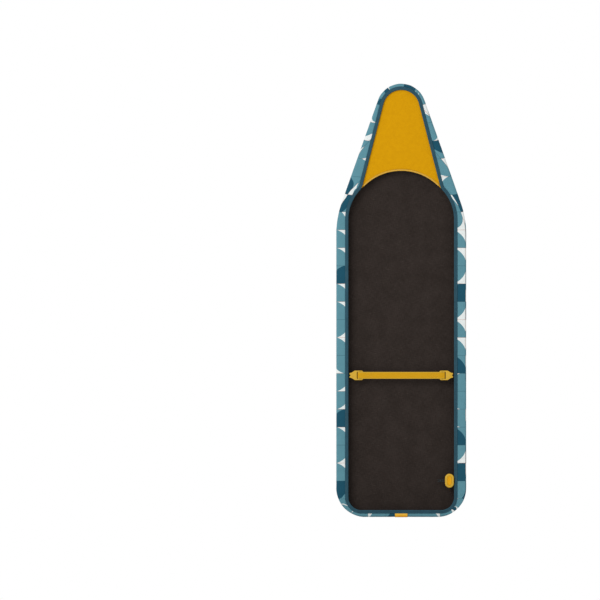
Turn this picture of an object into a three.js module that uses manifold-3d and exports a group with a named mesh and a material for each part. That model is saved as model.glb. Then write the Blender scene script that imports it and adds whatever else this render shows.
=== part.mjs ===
// Fitted ironing board cover: printed cotton over a foam and felt pad. The cloth turns under at the rim
// into a casing with an elastic draw cord. A pocket takes the board's nose, a webbing strap on two slide
// hooks spans the underside, and a sprung cord lock holds the draw cord.
// Millimetres. +Z points to the nose, +X to the right of someone who looks at the underside, and -Y out
// of the underside. The origin is the middle of the felt face that lies on the board.
import * as THREE from 'three';
import { mergeVertices } from 'three/addons/utils/BufferGeometryUtils.js';
import Module from 'manifold-3d';

const wasm = await Module();
wasm.setup();

// Board outline
const coverLength = 1270;
const coverWidth = 380;
const endCornerRadius = 84;
const taperLength = 393;
const shoulderRadius = 280;
const noseRadius = 72;

// Layers, from the board outwards
const feltThickness = 2.5;
const foamThickness = 5;
const clothThickness = 1;
const padSideClearance = 1;
const edgeRadius = 8;
const rimRadius = 6;
const hemDepth = 24;
const clearance = 0.3;

// Hem, the free edge of the skirt under the board
const hemSideInset = 35.2;
const hemEndInset = 20;
const hemTipInset = 18;
const hemCornerRadius = 38;
const hemArchRadius = 128;
const hemKinkRadius = 36;
const hemNoseRadius = 53.7;
const archCentreFromNose = 409;
const pocketMouthWidth = 231;
const kinkReach = 10;

// Binding tape folded round the draw cord
const bindingWidth = 10;
const bindingTape = 0.8;
const hemLap = 3;
const cordRadius = 1.5;

// Nose pocket and the tape along its mouth
const pocketThickness = 1;
const pocketLap = 6;
const mouthTapeWidth = 4;
const mouthTapeThickness = 0.8;

// Tag folded over the square end
const tagWidth = 37;
const tagFaceLength = 48;
const tagThickness = 0.8;

// Strap of woven webbing, sewn back on itself round the bars of its hooks
const strapFromEnd = 415;
const webbingWidth = 20;
const webbingThickness = 1.2;
const webbingSideClearance = 0.5;
const strapTailLength = 32;

// Slide hook: a frame with a centre bar, and a forked tip with a peg behind it
const hookTipGap = 3.2;
const hookNeckLength = 8.1;
const hookNeckHeight = 14;
const hookTaperLength = 7.5;
const hookHeight = 29;
const hookOuterBarWidth = 3.4;
const hookSlotWidth = 6;
const hookBarRadius = 1.6;
const hookInnerBarWidth = 4.5;
const hookCornerRadius = 4;
const hookHornRadius = 1.5;
const hookNotchRadius = 3;
const hookEdgeBevel = 0.5;
const hookPegRadius = 1.8;
const hookPegLength = 3.9;

// Hem loop that the hook's peg goes into
const loopCordRadius = 1.2;
const loopHalfWidth = 4.4;
const loopSeatLength = 5;

// Cord lock: two shells round a sprung button that both strands of the cord pass through
const lockFromEnd = 106;
const lockHemGap = 0.5;
const lockWidth = 26;
const lockHeight = 41;
const lockFrontDepth = 8;
const lockBackDepth = 7.1;
const lockFrontRound = 3.5;
const lockBackRound = 2.5;
const lockFrontWall = 2.2;
const lockBackWall = 1;
const lockTravel = 9;
const strandPitch = 4.4;
const cordBendRadius = 4;
const buttonWidth = 12.5;
const buttonHeight = 27;
const buttonProud = 0.8;
const buttonCrown = 1.5;
const buttonTravel = 2.5;
const buttonFlange = 1.2;
const buttonWeb = 1.5;
const springMeanRadius = 2;
const springWireRadius = 0.3;
const springTurns = 5;
const springPlace = 9.5;
const springHoleDepth = 5.8;
const knotRadius = 4.4;
const knotLength = 8;

// One overrun for every cut
const overrun = 1;

// Counts
const endCornerSteps = 8;
const shoulderSteps = 6;
const kinkSteps = 4;
const noseSteps = 14;
const roundSteps = 3;
const foldSteps = 6;
const bendSteps = 4;
const turnSteps = 10;
const mouthSteps = 18;
const lockCornerSteps = 5;
const cordSides = 8;
const roundSides = 12;
const springStepsPerTurn = 8;
const springSides = 5;

const quarter = Math.PI / 2;
const faceLevel = feltThickness + foamThickness + clothThickness;
const skirtFront = -hemDepth - clothThickness / 2;
const skirtBack = -hemDepth + clothThickness / 2;
const tipHeight = coverLength / 2;
const endHeight = -coverLength / 2;
const hemSide = coverWidth / 2 - hemSideInset;
const foldRadius = cordRadius + clearance + bindingTape;
const pocketFront = -hemDepth + foldRadius + clearance;

// Depths and places of the strap's hooks, from the hem inwards
const strapHeight = endHeight + strapFromEnd;
const hookBack = -hemDepth + foldRadius;
const hookDepth = hookBack - hookBarRadius;
const hookTip = hemSide - hookTipGap;
const hookNeck = hookTip - hookNeckLength;
const hookShoulder = hookNeck - hookTaperLength;
const hookBar = hookShoulder - hookOuterBarWidth - hookSlotWidth - hookBarRadius;
const hookInnerBar = hookBar - hookBarRadius - hookSlotWidth;
const hookPeg = hookTip - hookNotchRadius - clearance - hookPegRadius;

// Places of the cord lock and of the knot that stops it
const lockHeightPlace = endHeight + lockFromEnd;
const lockPlace = hemSide - lockHemGap - lockWidth / 2;
const lockFace = -hemDepth - lockFrontDepth;
const lockFloor = -hemDepth + lockBackDepth - lockBackWall;
const knotFace = lockPlace - lockWidth / 2 - lockTravel - clearance;
const strandReach = strandPitch / 2 + cordRadius + clearance;
const buttonBack = lockFloor - clearance - buttonTravel;
const buttonShoulder = lockFace + lockFrontWall + clearance;

// Angle of the line from a point that touches a circle on its right
function touchingAngle(x, z, centreZ, radius) {
  const toCentre = Math.atan2(centreZ - z, -x);
  return toCentre - Math.asin(radius / Math.hypot(x, centreZ - z));
}

// Where that line reaches the middle plane
function apexAbove(x, z, centreZ, radius) {
  const angle = touchingAngle(x, z, centreZ, radius);
  return z - x * Math.tan(angle);
}

// A loop's corners: the right half from the square end to the nose, the nose, and the mirrored half
function mirrored(rightHalf, nose) {
  const leftHalf = rightHalf.map((corner) => ({ ...corner, x: -corner.x })).reverse();
  return [...rightHalf, nose, ...leftHalf];
}

const shoulder = { x: coverWidth / 2, z: tipHeight - taperLength };
const noseCentre = tipHeight - noseRadius;
const taperAngle = touchingAngle(shoulder.x, shoulder.z, noseCentre, noseRadius);

const archCentreHeight = tipHeight - archCentreFromNose;
const kinkX = pocketMouthWidth / 2;
const kinkZ = archCentreHeight + Math.sqrt(hemSide ** 2 - kinkX ** 2);
const archAngle = Math.acos(kinkX / hemSide);
const hemShoulderZ = archCentreHeight + hemSide * Math.tan(archAngle / 2);
const hemNoseCentre = tipHeight - hemTipInset - hemNoseRadius;
const pocketSideAngle = touchingAngle(kinkX, kinkZ, hemNoseCentre, hemNoseRadius);
const kinkTurn = archAngle + quarter - pocketSideAngle;

// The board outline has a straight corner level with the kink, so both loops pair point for point
const kinkAlongTaper = (kinkX - shoulder.x) * Math.cos(taperAngle) + (kinkZ - shoulder.z) * Math.sin(taperAngle);
const boardCorners = mirrored([
  { x: coverWidth / 2, z: endHeight, radius: endCornerRadius, steps: endCornerSteps },
  { ...shoulder, radius: shoulderRadius, steps: shoulderSteps },
  {
    x: shoulder.x + kinkAlongTaper * Math.cos(taperAngle),
    z: shoulder.z + kinkAlongTaper * Math.sin(taperAngle),
    reach: kinkReach,
    steps: kinkSteps,
  },
], {
  x: 0,
  z: apexAbove(shoulder.x, shoulder.z, noseCentre, noseRadius),
  radius: noseRadius,
  steps: noseSteps,
});

const hemCorners = mirrored([
  { x: hemSide, z: endHeight + hemEndInset, radius: hemCornerRadius, steps: endCornerSteps },
  { x: hemSide, z: hemShoulderZ, radius: hemArchRadius, steps: shoulderSteps },
  { x: kinkX, z: kinkZ, radius: hemKinkRadius, steps: kinkSteps },
], {
  x: 0,
  z: apexAbove(kinkX, kinkZ, hemNoseCentre, hemNoseRadius),
  radius: hemNoseRadius,
  steps: noseSteps,
});

// A loop's points at a distance outside its named outline: straight runs and round corners
function offsetLoop(corners, outset) {
  const count = corners.length;
  const ways = corners.map((corner, i) => {
    const next = corners[(i + 1) % count];
    return new THREE.Vector2(next.x - corner.x, next.z - corner.z).normalize();
  });
  const points = [];
  corners.forEach((corner, i) => {
    const into = ways[(i + count - 1) % count];
    const out = ways[i];
    const turn = Math.atan2(into.cross(out), into.dot(out));
    const sideIn = new THREE.Vector2(into.y, -into.x);
    const sideOut = new THREE.Vector2(out.y, -out.x);
    const mitre = sideIn.clone().add(sideOut).divideScalar(1 + sideIn.dot(sideOut));
    const place = new THREE.Vector2(corner.x, corner.z).addScaledVector(mitre, outset);
    if (corner.reach) {
      for (let k = 0; k <= corner.steps; k++) {
        points.push(place.clone().addScaledVector(out, corner.reach * (2 * k / corner.steps - 1)));
      }
      return;
    }
    const bulge = Math.sign(turn);
    const radius = corner.radius + bulge * outset;
    const centre = place.clone().addScaledVector(mitre, -bulge * radius);
    const from = Math.atan2(sideIn.y, sideIn.x);
    for (let k = 0; k <= corner.steps; k++) {
      const angle = from + turn * k / corner.steps;
      const side = new THREE.Vector2(Math.cos(angle), Math.sin(angle));
      points.push(centre.clone().addScaledVector(side, bulge * radius));
    }
  });
  return points;
}

const atDepth = (loop, y) => loop.map((p) => new THREE.Vector3(p.x, y, p.y));
const boardRing = (outset, y) => atDepth(offsetLoop(boardCorners, outset), y);
const hemRing = (outset, y) => atDepth(offsetLoop(hemCorners, outset), y);

// Rungs across a loop whose first and last points mirror each other
function rungs(count) {
  const faces = [];
  for (let i = 0, j = count - 1; i + 1 < j; i++, j--) {
    faces.push([i, i + 1, j]);
    if (i + 1 < j - 1) faces.push([i + 1, j - 1, j]);
  }
  return faces;
}

// Triangles across a flat outline of any shape, turning the same way as the outline
function across(outline) {
  const faces = THREE.ShapeUtils.triangulateShape(outline, []);
  const turns = THREE.ShapeUtils.area(outline) * THREE.ShapeUtils.area(faces[0].map((i) => outline[i]));
  return turns > 0 ? faces : faces.map(([i, j, k]) => [k, j, i]);
}

// Closed body through rings of equal count, with end faces, or joined from the last ring to the first
function skinned(rings, endFaces) {
  const count = rings[0].length;
  const rows = endFaces ? rings.length - 1 : rings.length;
  const index = [];
  for (let r = 0; r < rows; r++) {
    const next = (r + 1) % rings.length;
    for (let i = 0; i < count; i++) {
      const a = r * count + i;
      const b = r * count + (i + 1) % count;
      const c = next * count + (i + 1) % count;
      const d = next * count + i;
      index.push(a, b, c, a, c, d);
    }
  }
  if (endFaces) {
    const last = (rings.length - 1) * count;
    endFaces.forEach(([i, j, k]) => index.push(k, j, i, last + i, last + j, last + k));
  }
  return facingOut(rings.flat(), index);
}

function facingOut(points, index) {
  let volume = 0;
  for (let t = 0; t < index.length; t += 3) {
    const [a, b, c] = [points[index[t]], points[index[t + 1]], points[index[t + 2]]];
    volume += a.dot(b.clone().cross(c));
  }
  const geometry = new THREE.BufferGeometry().setFromPoints(points);
  geometry.setIndex(volume < 0 ? index.reverse() : index);
  return geometry;
}

// Outline of a strip of one thickness along a path
function stripOutline(path, thickness) {
  const sides = path.map((p, i) => {
    const before = path[Math.max(i - 1, 0)];
    const after = path[Math.min(i + 1, path.length - 1)];
    const into = p.clone().sub(i ? before : p).normalize();
    const out = after.clone().sub(p).normalize();
    const sideIn = new THREE.Vector2(-into.y, into.x);
    const sideOut = new THREE.Vector2(-out.y, out.x);
    if (i === 0) return sideOut;
    if (i === path.length - 1) return sideIn;
    return sideIn.clone().add(sideOut).divideScalar(1 + sideIn.dot(sideOut));
  });
  const shifted = (by) => path.map((p, i) => p.clone().addScaledVector(sides[i], by));
  return [...shifted(thickness / 2), ...shifted(-thickness / 2).reverse()];
}

// Points on an arc, both ends included
function arcPoints(x, y, radius, from, to, steps) {
  return Array.from({ length: steps + 1 }, (_, k) => {
    const angle = from + (to - from) * k / steps;
    return new THREE.Vector2(x + radius * Math.cos(angle), y + radius * Math.sin(angle));
  });
}

// Round cord along a path in a plane of one depth, mitred at each bend
function flatCord(path, y, radius, sides) {
  const rings = path.map((p, i) => {
    const before = path[Math.max(i - 1, 0)];
    const after = path[Math.min(i + 1, path.length - 1)];
    const into = (i ? p.clone().sub(before) : after.clone().sub(p)).normalize();
    const onward = (i < path.length - 1 ? after.clone().sub(p) : p.clone().sub(before)).normalize();
    const side = new THREE.Vector2(-into.y - onward.y, into.x + onward.x).divideScalar(1 + into.dot(onward));
    return Array.from({ length: sides }, (_, k) => {
      const angle = 2 * Math.PI * (k + 0.5) / sides;
      const out = p.clone().addScaledVector(side, radius * Math.cos(angle));
      return new THREE.Vector3(out.x, y + radius * Math.sin(angle), out.y);
    });
  });
  return skinned(rings, rungs(sides));
}

function toSolid(geometry) {
  const bare = new THREE.BufferGeometry();
  bare.setAttribute('position', geometry.getAttribute('position').clone());
  if (geometry.index) bare.setIndex(geometry.index.clone());
  const merged = mergeVertices(bare);
  return new wasm.Manifold(new wasm.Mesh({
    numProp: 3,
    vertProperties: new Float32Array(merged.getAttribute('position').array),
    triVerts: new Uint32Array(merged.index.array),
  }));
}

function toGeometry(solid) {
  const mesh = solid.getMesh();
  const geometry = new THREE.BufferGeometry();
  geometry.setAttribute('position', new THREE.BufferAttribute(new Float32Array(mesh.vertProperties), 3));
  geometry.setIndex(new THREE.BufferAttribute(new Uint32Array(mesh.triVerts), 1));
  return geometry;
}

function cut(body, ...tools) {
  return toGeometry(tools.reduce((solid, tool) => solid.subtract(toSolid(tool)), toSolid(body)));
}

function joined(body, ...others) {
  return toGeometry(others.reduce((solid, other) => solid.add(toSolid(other)), toSolid(body)));
}

function block(lowX, highX, lowY, highY, lowZ, highZ) {
  const geometry = new THREE.BoxGeometry(highX - lowX, highY - lowY, highZ - lowZ);
  return geometry.translate((lowX + highX) / 2, (lowY + highY) / 2, (lowZ + highZ) / 2);
}

// A plate in the X-Z plane from one depth to another
function plate(shape, frontY, backY, bevel = 0) {
  const geometry = new THREE.ExtrudeGeometry(shape, {
    depth: backY - frontY - 2 * bevel,
    steps: 1,
    bevelEnabled: bevel > 0,
    bevelThickness: bevel,
    bevelSize: bevel,
    bevelOffset: -bevel,
    bevelSegments: 1,
    curveSegments: 6,
  });
  return geometry.rotateX(quarter).translate(0, backY - bevel, 0);
}

// Materials of the finished goods
const finish = {
  cotton: { color: 0x5b8f9e, roughness: 0.85 },
  foam: { color: 0xd9d4c4, roughness: 0.95 },
  felt: { color: 0x372e2c, roughness: 0.95 },
  tealTape: { color: 0x2d5466, roughness: 0.8 },
  elastic: { color: 0x23272a, roughness: 0.8 },
  pocketCloth: { color: 0xd29809, roughness: 0.8 },
  paleTape: { color: 0xd4ae52, roughness: 0.75 },
  tagRibbon: { color: 0xe8ab16, roughness: 0.6 },
  webbing: { color: 0xcc9c22, roughness: 0.75 },
  hookPlastic: { color: 0xd2a63e, roughness: 0.45 },
  buttonPlastic: { color: 0xd99e0c, roughness: 0.45 },
  springSteel: { color: 0xb4b6b8, roughness: 0.3, metalness: 1 },
};

function coverCloth() {
  const rows = [];
  for (let k = 0; k <= roundSteps; k++) {
    const angle = quarter * k / roundSteps;
    rows.push(boardRing(
      edgeRadius * (Math.sin(angle) - 1),
      faceLevel - edgeRadius * (1 - Math.cos(angle)),
    ));
  }
  for (let k = 0; k <= roundSteps; k++) {
    const angle = quarter * k / roundSteps;
    rows.push(boardRing(rimRadius * (Math.cos(angle) - 1), skirtFront + rimRadius * (1 - Math.sin(angle))));
  }
  rows.push(hemRing(bindingWidth - hemLap, skirtFront));
  rows.push(hemRing(bindingWidth - hemLap, skirtBack));
  const innerRim = rimRadius - clothThickness;
  for (let k = roundSteps; k >= 0; k--) {
    const angle = quarter * k / roundSteps;
    rows.push(boardRing(
      innerRim * Math.cos(angle) - rimRadius,
      skirtFront + rimRadius - innerRim * Math.sin(angle),
    ));
  }
  const innerEdge = edgeRadius - clothThickness;
  for (let k = roundSteps; k >= 0; k--) {
    const angle = quarter * k / roundSteps;
    rows.push(boardRing(
      innerEdge * Math.sin(angle) - edgeRadius,
      faceLevel - edgeRadius + innerEdge * Math.cos(angle),
    ));
  }
  return skinned(rows, rungs(rows[0].length));
}

// The foam's edge is the cloth's inner round moved in by the side clearance
function foamPad() {
  const round = edgeRadius - clothThickness;
  const centre = faceLevel - edgeRadius;
  const lowest = Math.acos((feltThickness - centre) / round);
  const rows = [];
  for (let k = 0; k <= roundSteps; k++) {
    const angle = lowest * k / roundSteps;
    rows.push(boardRing(
      round * Math.sin(angle) - edgeRadius - padSideClearance,
      centre + round * Math.cos(angle),
    ));
  }
  return skinned(rows, rungs(rows[0].length));
}

function feltBacking() {
  const inset = clothThickness + padSideClearance;
  const rows = [boardRing(-inset, feltThickness), boardRing(-inset, 0)];
  return skinned(rows, rungs(rows[0].length));
}

// Section of the binding: a tape folded round the cord, with two leaves that hold the cloth's edge
function bindingSection() {
  const slot = clothThickness / 2 + clearance;
  const leaf = slot + bindingTape;
  const channel = foldRadius - bindingTape;
  const outer = arcPoints(foldRadius, 0, foldRadius, -quarter, -3 * quarter, foldSteps);
  const inner = arcPoints(foldRadius, 0, channel, quarter, 3 * quarter, foldSteps - 2);
  const neck = 2 * foldRadius;
  const point = (u, v) => new THREE.Vector2(u, v);
  return [
    point(bindingWidth, -leaf), point(neck + bindingTape, -leaf), ...outer,
    point(neck + bindingTape, leaf), point(bindingWidth, leaf),
    point(bindingWidth, slot), point(neck, slot), ...inner,
    point(neck, -slot), point(bindingWidth, -slot),
  ];
}

function hemBinding() {
  const rows = bindingSection().map((p) => hemRing(p.x, p.y - hemDepth));
  const slitReach = strandPitch / 2 + cordBendRadius + cordRadius + clearance;
  const slit = block(
    hemSide - overrun, hemSide + foldRadius + clearance,
    -hemDepth - foldRadius - overrun, -hemDepth + foldRadius + overrun,
    lockHeightPlace - slitReach, lockHeightPlace + slitReach,
  );
  return cut(skinned(rows), slit);
}

// The cord runs once round the hem, and both its ends come out through the slit into the lock
function drawCord() {
  const loop = offsetLoop(hemCorners, foldRadius);
  const afterFirstCorner = endCornerSteps + 1;
  const bendX = hemSide + foldRadius - cordBendRadius;
  const upper = lockHeightPlace + strandPitch / 2;
  const lower = lockHeightPlace - strandPitch / 2;
  const path = [
    new THREE.Vector2(knotFace + clearance, upper),
    ...arcPoints(bendX, upper + cordBendRadius, cordBendRadius, -quarter, 0, bendSteps),
    ...loop.slice(afterFirstCorner),
    ...loop.slice(0, afterFirstCorner),
    ...arcPoints(bendX, lower - cordBendRadius, cordBendRadius, 0, quarter, bendSteps),
    new THREE.Vector2(knotFace + clearance, lower),
  ];
  return flatCord(path, -hemDepth, cordRadius, cordSides);
}

// The two ends of the cord are tied together in one lump
function cordKnot() {
  const half = knotLength / 2;
  const endRadius = strandPitch / 2 + cordRadius;
  const profile = [
    [0, -half], [endRadius, -half], [knotRadius, -half / 2],
    [knotRadius, half / 2], [endRadius, half], [0, half],
  ].map(([r, y]) => new THREE.Vector2(r, y));
  const geometry = new THREE.LatheGeometry(profile, roundSides);
  return geometry.rotateZ(quarter).translate(knotFace - half, -hemDepth, lockHeightPlace);
}

// The pocket's panel is sewn behind the binding, and its mouth goes on along the arch of the hem
function nosePocket() {
  const loop = offsetLoop(hemCorners, pocketLap);
  const firstKink = endCornerSteps + shoulderSteps + 2;
  const sides = loop.slice(firstKink, loop.length - firstKink);
  const mouth = arcPoints(0, archCentreHeight, hemSide, Math.PI - archAngle, archAngle, mouthSteps);
  return plate(new THREE.Shape([...sides, ...mouth]), pocketFront, pocketFront + pocketThickness);
}

// The tape stops short of the binding, where the mouth and the pocket's side close in on each other
function pocketMouthTape() {
  const middle = pocketFront + pocketThickness / 2;
  const slot = pocketThickness / 2 + clearance;
  const leaf = slot + mouthTapeThickness;
  const fold = clearance + mouthTapeThickness;
  const section = [
    [mouthTapeWidth, -leaf], [-clearance, -leaf], [-fold, -slot], [-fold, slot], [-clearance, leaf],
    [mouthTapeWidth, leaf], [mouthTapeWidth, slot], [-clearance, slot], [-clearance, -slot],
    [mouthTapeWidth, -slot],
  ].map(([u, v]) => new THREE.Vector2(u, v));
  const setback = (clearance + mouthTapeWidth * Math.cos(kinkTurn)) / Math.sin(kinkTurn);
  const end = archAngle + setback / hemSide;
  const rings = Array.from({ length: mouthSteps + 1 }, (_, k) => {
    const angle = end + (Math.PI - 2 * end) * k / mouthSteps;
    return section.map((p) => new THREE.Vector3(
      (hemSide + p.x) * Math.cos(angle),
      middle + p.y,
      archCentreHeight + (hemSide + p.x) * Math.sin(angle),
    ));
  });
  return skinned(rings, across(section));
}

// A strip of one width that follows a path, with the width along +Z
function ribbon(path, thickness, width) {
  const shape = new THREE.Shape(stripOutline(path, thickness));
  return new THREE.ExtrudeGeometry(shape, { depth: width, steps: 1, bevelEnabled: false });
}

// The tag follows the cloth over the square end, from the ironing face to the binding
function endTag() {
  const off = clearance + tagThickness / 2;
  const path = [
    new THREE.Vector2(-endHeight - tagFaceLength, faceLevel + off),
    ...arcPoints(-endHeight - edgeRadius, faceLevel - edgeRadius, edgeRadius + off, quarter, 0, roundSteps),
    ...arcPoints(-endHeight - rimRadius, skirtFront + rimRadius, rimRadius + off, 0, -quarter, roundSteps),
    new THREE.Vector2(-endHeight - hemEndInset + bindingWidth + clearance, skirtFront - off),
  ];
  return ribbon(path, tagThickness, tagWidth).rotateY(quarter).translate(-tagWidth / 2, 0, 0);
}

// One strip: tail, round one bar and back across its own tail, over to the other bar, and tail again
function strapWebbing() {
  const turn = hookBarRadius + clearance + webbingThickness / 2;
  const tailLevel = hookDepth - turn;
  const runLevel = tailLevel - webbingThickness - clearance;
  const tailRise = quarter + 2 * Math.atan(turn / (hookBar - hookInnerBar));
  const rightEnd = [
    new THREE.Vector2(hookInnerBar - hookInnerBarWidth - strapTailLength, tailLevel),
    new THREE.Vector2(hookInnerBar, tailLevel),
    ...arcPoints(hookBar, hookDepth, turn, tailRise, -quarter, turnSteps),
    new THREE.Vector2(hookInnerBar, runLevel),
  ];
  const leftEnd = rightEnd.map((p) => new THREE.Vector2(-p.x, p.y)).reverse();
  const strip = ribbon([...rightEnd, ...leftEnd], webbingThickness, webbingWidth);
  return strip.translate(0, 0, strapHeight - webbingWidth / 2);
}

// Outline of the hook in the X-Z plane: square frame, tapered neck and two short horns
function hookShape() {
  const half = hookHeight / 2;
  const neck = hookNeckHeight / 2;
  const inner = hookInnerBar - hookInnerBarWidth;
  const shape = new THREE.Shape();
  shape.absarc(inner + hookCornerRadius, -half + hookCornerRadius, hookCornerRadius, 2 * quarter, 3 * quarter);
  shape.lineTo(hookShoulder, -half);
  shape.lineTo(hookNeck, -neck);
  shape.absarc(hookTip - hookHornRadius, -neck + hookHornRadius, hookHornRadius, -quarter, 0);
  shape.absarc(hookTip, 0, hookNotchRadius, -quarter, -3 * quarter, true);
  shape.absarc(hookTip - hookHornRadius, neck - hookHornRadius, hookHornRadius, 0, quarter);
  shape.lineTo(hookNeck, neck);
  shape.lineTo(hookShoulder, half);
  shape.absarc(inner + hookCornerRadius, half - hookCornerRadius, hookCornerRadius, quarter, 2 * quarter);
  return shape;
}

// The right hook, or with half a turn about the depth the left one; its peg points at the board
function slideHook(halfTurns) {
  const windowReach = webbingWidth / 2 + webbingSideClearance;
  const frontY = hookDepth - hookBarRadius;
  const frame = cut(
    plate(hookShape(), frontY, hookBack, hookEdgeBevel),
    block(
      hookInnerBar, hookBar + hookBarRadius + hookSlotWidth,
      frontY - overrun, hookBack + overrun,
      -windowReach, windowReach,
    ),
  );
  const barLength = 2 * (windowReach + hookEdgeBevel);
  const bar = new THREE.CylinderGeometry(hookBarRadius, hookBarRadius, barLength, roundSides);
  bar.rotateX(quarter).translate(hookBar, hookDepth, 0);
  const peg = new THREE.CylinderGeometry(hookPegRadius, hookPegRadius, hookBarRadius + hookPegLength, roundSides);
  peg.translate(hookPeg, hookDepth + (hookBarRadius + hookPegLength) / 2, 0);
  return joined(frame, bar, peg).rotateY(Math.PI * halfTurns).translate(0, 0, strapHeight);
}

// A loop of cord sewn behind the hem's binding, round the hook's peg
function hookLoop(halfTurns) {
  const round = hookPeg - hookPegRadius - clearance - loopCordRadius + loopHalfWidth;
  const seatEnd = hemSide + loopSeatLength;
  const path = [
    new THREE.Vector2(seatEnd, loopHalfWidth),
    ...arcPoints(round, 0, loopHalfWidth, quarter, 3 * quarter, 2 * bendSteps),
    new THREE.Vector2(seatEnd, -loopHalfWidth),
  ];
  const loop = flatCord(path, hookBack + clearance + loopCordRadius, loopCordRadius, cordSides);
  return loop.rotateY(Math.PI * halfTurns).translate(0, 0, strapHeight);
}

// Oblong ring with round ends, about the cord lock's middle
function lockRing(width, height, outset, y) {
  const radius = Math.min(width, height) / 2 - clearance;
  const corners = [[1, -1], [1, 1], [-1, 1], [-1, -1]].map(([right, up]) => ({
    x: lockPlace + right * width / 2,
    z: lockHeightPlace + up * height / 2,
    radius,
    steps: lockCornerSteps,
  }));
  return atDepth(offsetLoop(corners, outset), y);
}

function lockSolid(rings) {
  return skinned(rings, across(rings[0].map((p) => new THREE.Vector2(p.x, p.z))));
}

function oblong(width, height, outset, lowY, highY) {
  return lockSolid([lockRing(width, height, outset, lowY), lockRing(width, height, outset, highY)]);
}

// A shell's outside: straight walls from the parting plane, then a round edge up to its face
function shellOutside(partingY, faceY, round) {
  const way = Math.sign(faceY - partingY);
  const rings = [lockRing(lockWidth, lockHeight, 0, partingY)];
  for (let k = 0; k <= roundSteps; k++) {
    const angle = quarter * k / roundSteps;
    rings.push(lockRing(
      lockWidth, lockHeight,
      round * (Math.cos(angle) - 1),
      faceY - way * round * (1 - Math.sin(angle)),
    ));
  }
  return lockSolid(rings);
}

// The way of both strands through the lock, half of it in each shell
function cordPassage() {
  const reach = lockWidth / 2 + overrun;
  return block(
    lockPlace - reach, lockPlace + reach,
    -hemDepth - cordRadius - clearance, -hemDepth + cordRadius + clearance,
    lockHeightPlace - strandReach, lockHeightPlace + strandReach,
  );
}

// The chamber has room for the button's flange, and the button's face shows in the window
function lockFrontShell() {
  const parting = -hemDepth - clearance / 2;
  return cut(
    shellOutside(parting, lockFace, lockFrontRound),
    oblong(buttonWidth, buttonHeight, buttonFlange + clearance, lockFace + lockFrontWall, parting + overrun),
    oblong(buttonWidth, buttonHeight, clearance, lockFace - overrun, parting + overrun),
    cordPassage(),
  );
}

function lockBackShell() {
  const parting = -hemDepth + clearance / 2;
  return cut(
    shellOutside(parting, -hemDepth + lockBackDepth, lockBackRound),
    oblong(buttonWidth, buttonHeight, buttonFlange + clearance, parting - overrun, lockFloor),
    cordPassage(),
  );
}

// Crowned face, flange under the window, slot for the strands and a blind hole for each spring
function lockButton() {
  const stem = lockSolid([
    lockRing(buttonWidth, buttonHeight, 0, buttonBack),
    lockRing(buttonWidth, buttonHeight, 0, lockFace),
    lockRing(buttonWidth, buttonHeight, -buttonCrown / 3, lockFace - buttonProud * 2 / 3),
    lockRing(buttonWidth, buttonHeight, -buttonCrown, lockFace - buttonProud),
  ]);
  const flangeBack = buttonShoulder + buttonFlange;
  const flange = oblong(buttonWidth, buttonHeight, buttonFlange, buttonShoulder, flangeBack);
  const slot = block(
    lockPlace - buttonWidth, lockPlace + buttonWidth,
    flangeBack, buttonBack - buttonWeb,
    lockHeightPlace - strandReach, lockHeightPlace + strandReach,
  );
  const holeRadius = springMeanRadius + springWireRadius + clearance;
  const holes = [1, -1].map((side) => {
    const hole = new THREE.CylinderGeometry(holeRadius, holeRadius, springHoleDepth + overrun, roundSides);
    const middle = buttonBack + (overrun - springHoleDepth) / 2;
    return hole.translate(lockPlace, middle, lockHeightPlace + side * springPlace);
  });
  return cut(joined(stem, flange), slot, ...holes);
}

// Compression spring between the back shell's floor and the end of the button's hole
function lockSpring(side) {
  const lowY = buttonBack - springHoleDepth + clearance + springWireRadius;
  const highY = lockFloor - clearance - springWireRadius;
  const count = springTurns * springStepsPerTurn;
  const rings = Array.from({ length: count + 1 }, (_, k) => {
    const turn = 2 * Math.PI * k / springStepsPerTurn;
    const middleY = lowY + (highY - lowY) * k / count;
    return Array.from({ length: springSides }, (_, j) => {
      const angle = 2 * Math.PI * j / springSides;
      const out = springMeanRadius + springWireRadius * Math.cos(angle);
      return new THREE.Vector3(
        lockPlace + out * Math.cos(turn),
        middleY + springWireRadius * Math.sin(angle),
        lockHeightPlace + side * springPlace + out * Math.sin(turn),
      );
    });
  });
  return skinned(rings, rungs(springSides));
}

const part = new THREE.Group();

function add(name, geometry, material) {
  geometry.computeVertexNormals();
  const mesh = new THREE.Mesh(geometry, new THREE.MeshStandardMaterial(material));
  mesh.name = name;
  part.add(mesh);
}

add('cover_cloth', coverCloth(), finish.cotton);
add('foam_pad', foamPad(), finish.foam);
add('felt_backing', feltBacking(), finish.felt);
add('hem_binding', hemBinding(), finish.tealTape);
add('draw_cord', drawCord(), finish.elastic);
add('cord_knot', cordKnot(), finish.elastic);
add('nose_pocket', nosePocket(), finish.pocketCloth);
add('pocket_mouth_tape', pocketMouthTape(), finish.paleTape);
add('end_tag', endTag(), finish.tagRibbon);
add('strap_webbing', strapWebbing(), finish.webbing);
add('slide_hook_left', slideHook(1), finish.hookPlastic);
add('slide_hook_right', slideHook(0), finish.hookPlastic);
add('hook_loop_left', hookLoop(1), finish.elastic);
add('hook_loop_right', hookLoop(0), finish.elastic);
add('lock_back_shell', lockBackShell(), finish.hookPlastic);
add('lock_front_shell', lockFrontShell(), finish.hookPlastic);
add('lock_button', lockButton(), finish.buttonPlastic);
add('lock_spring_upper', lockSpring(1), finish.springSteel);
add('lock_spring_lower', lockSpring(-1), finish.springSteel);

export default part;
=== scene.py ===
import bpy
import bmesh
import numpy as np
from math import acos, asin, atan2, cos, dist, hypot, pi, sin, sqrt, tan
from mathutils import Matrix, Vector, kdtree, noise


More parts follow.
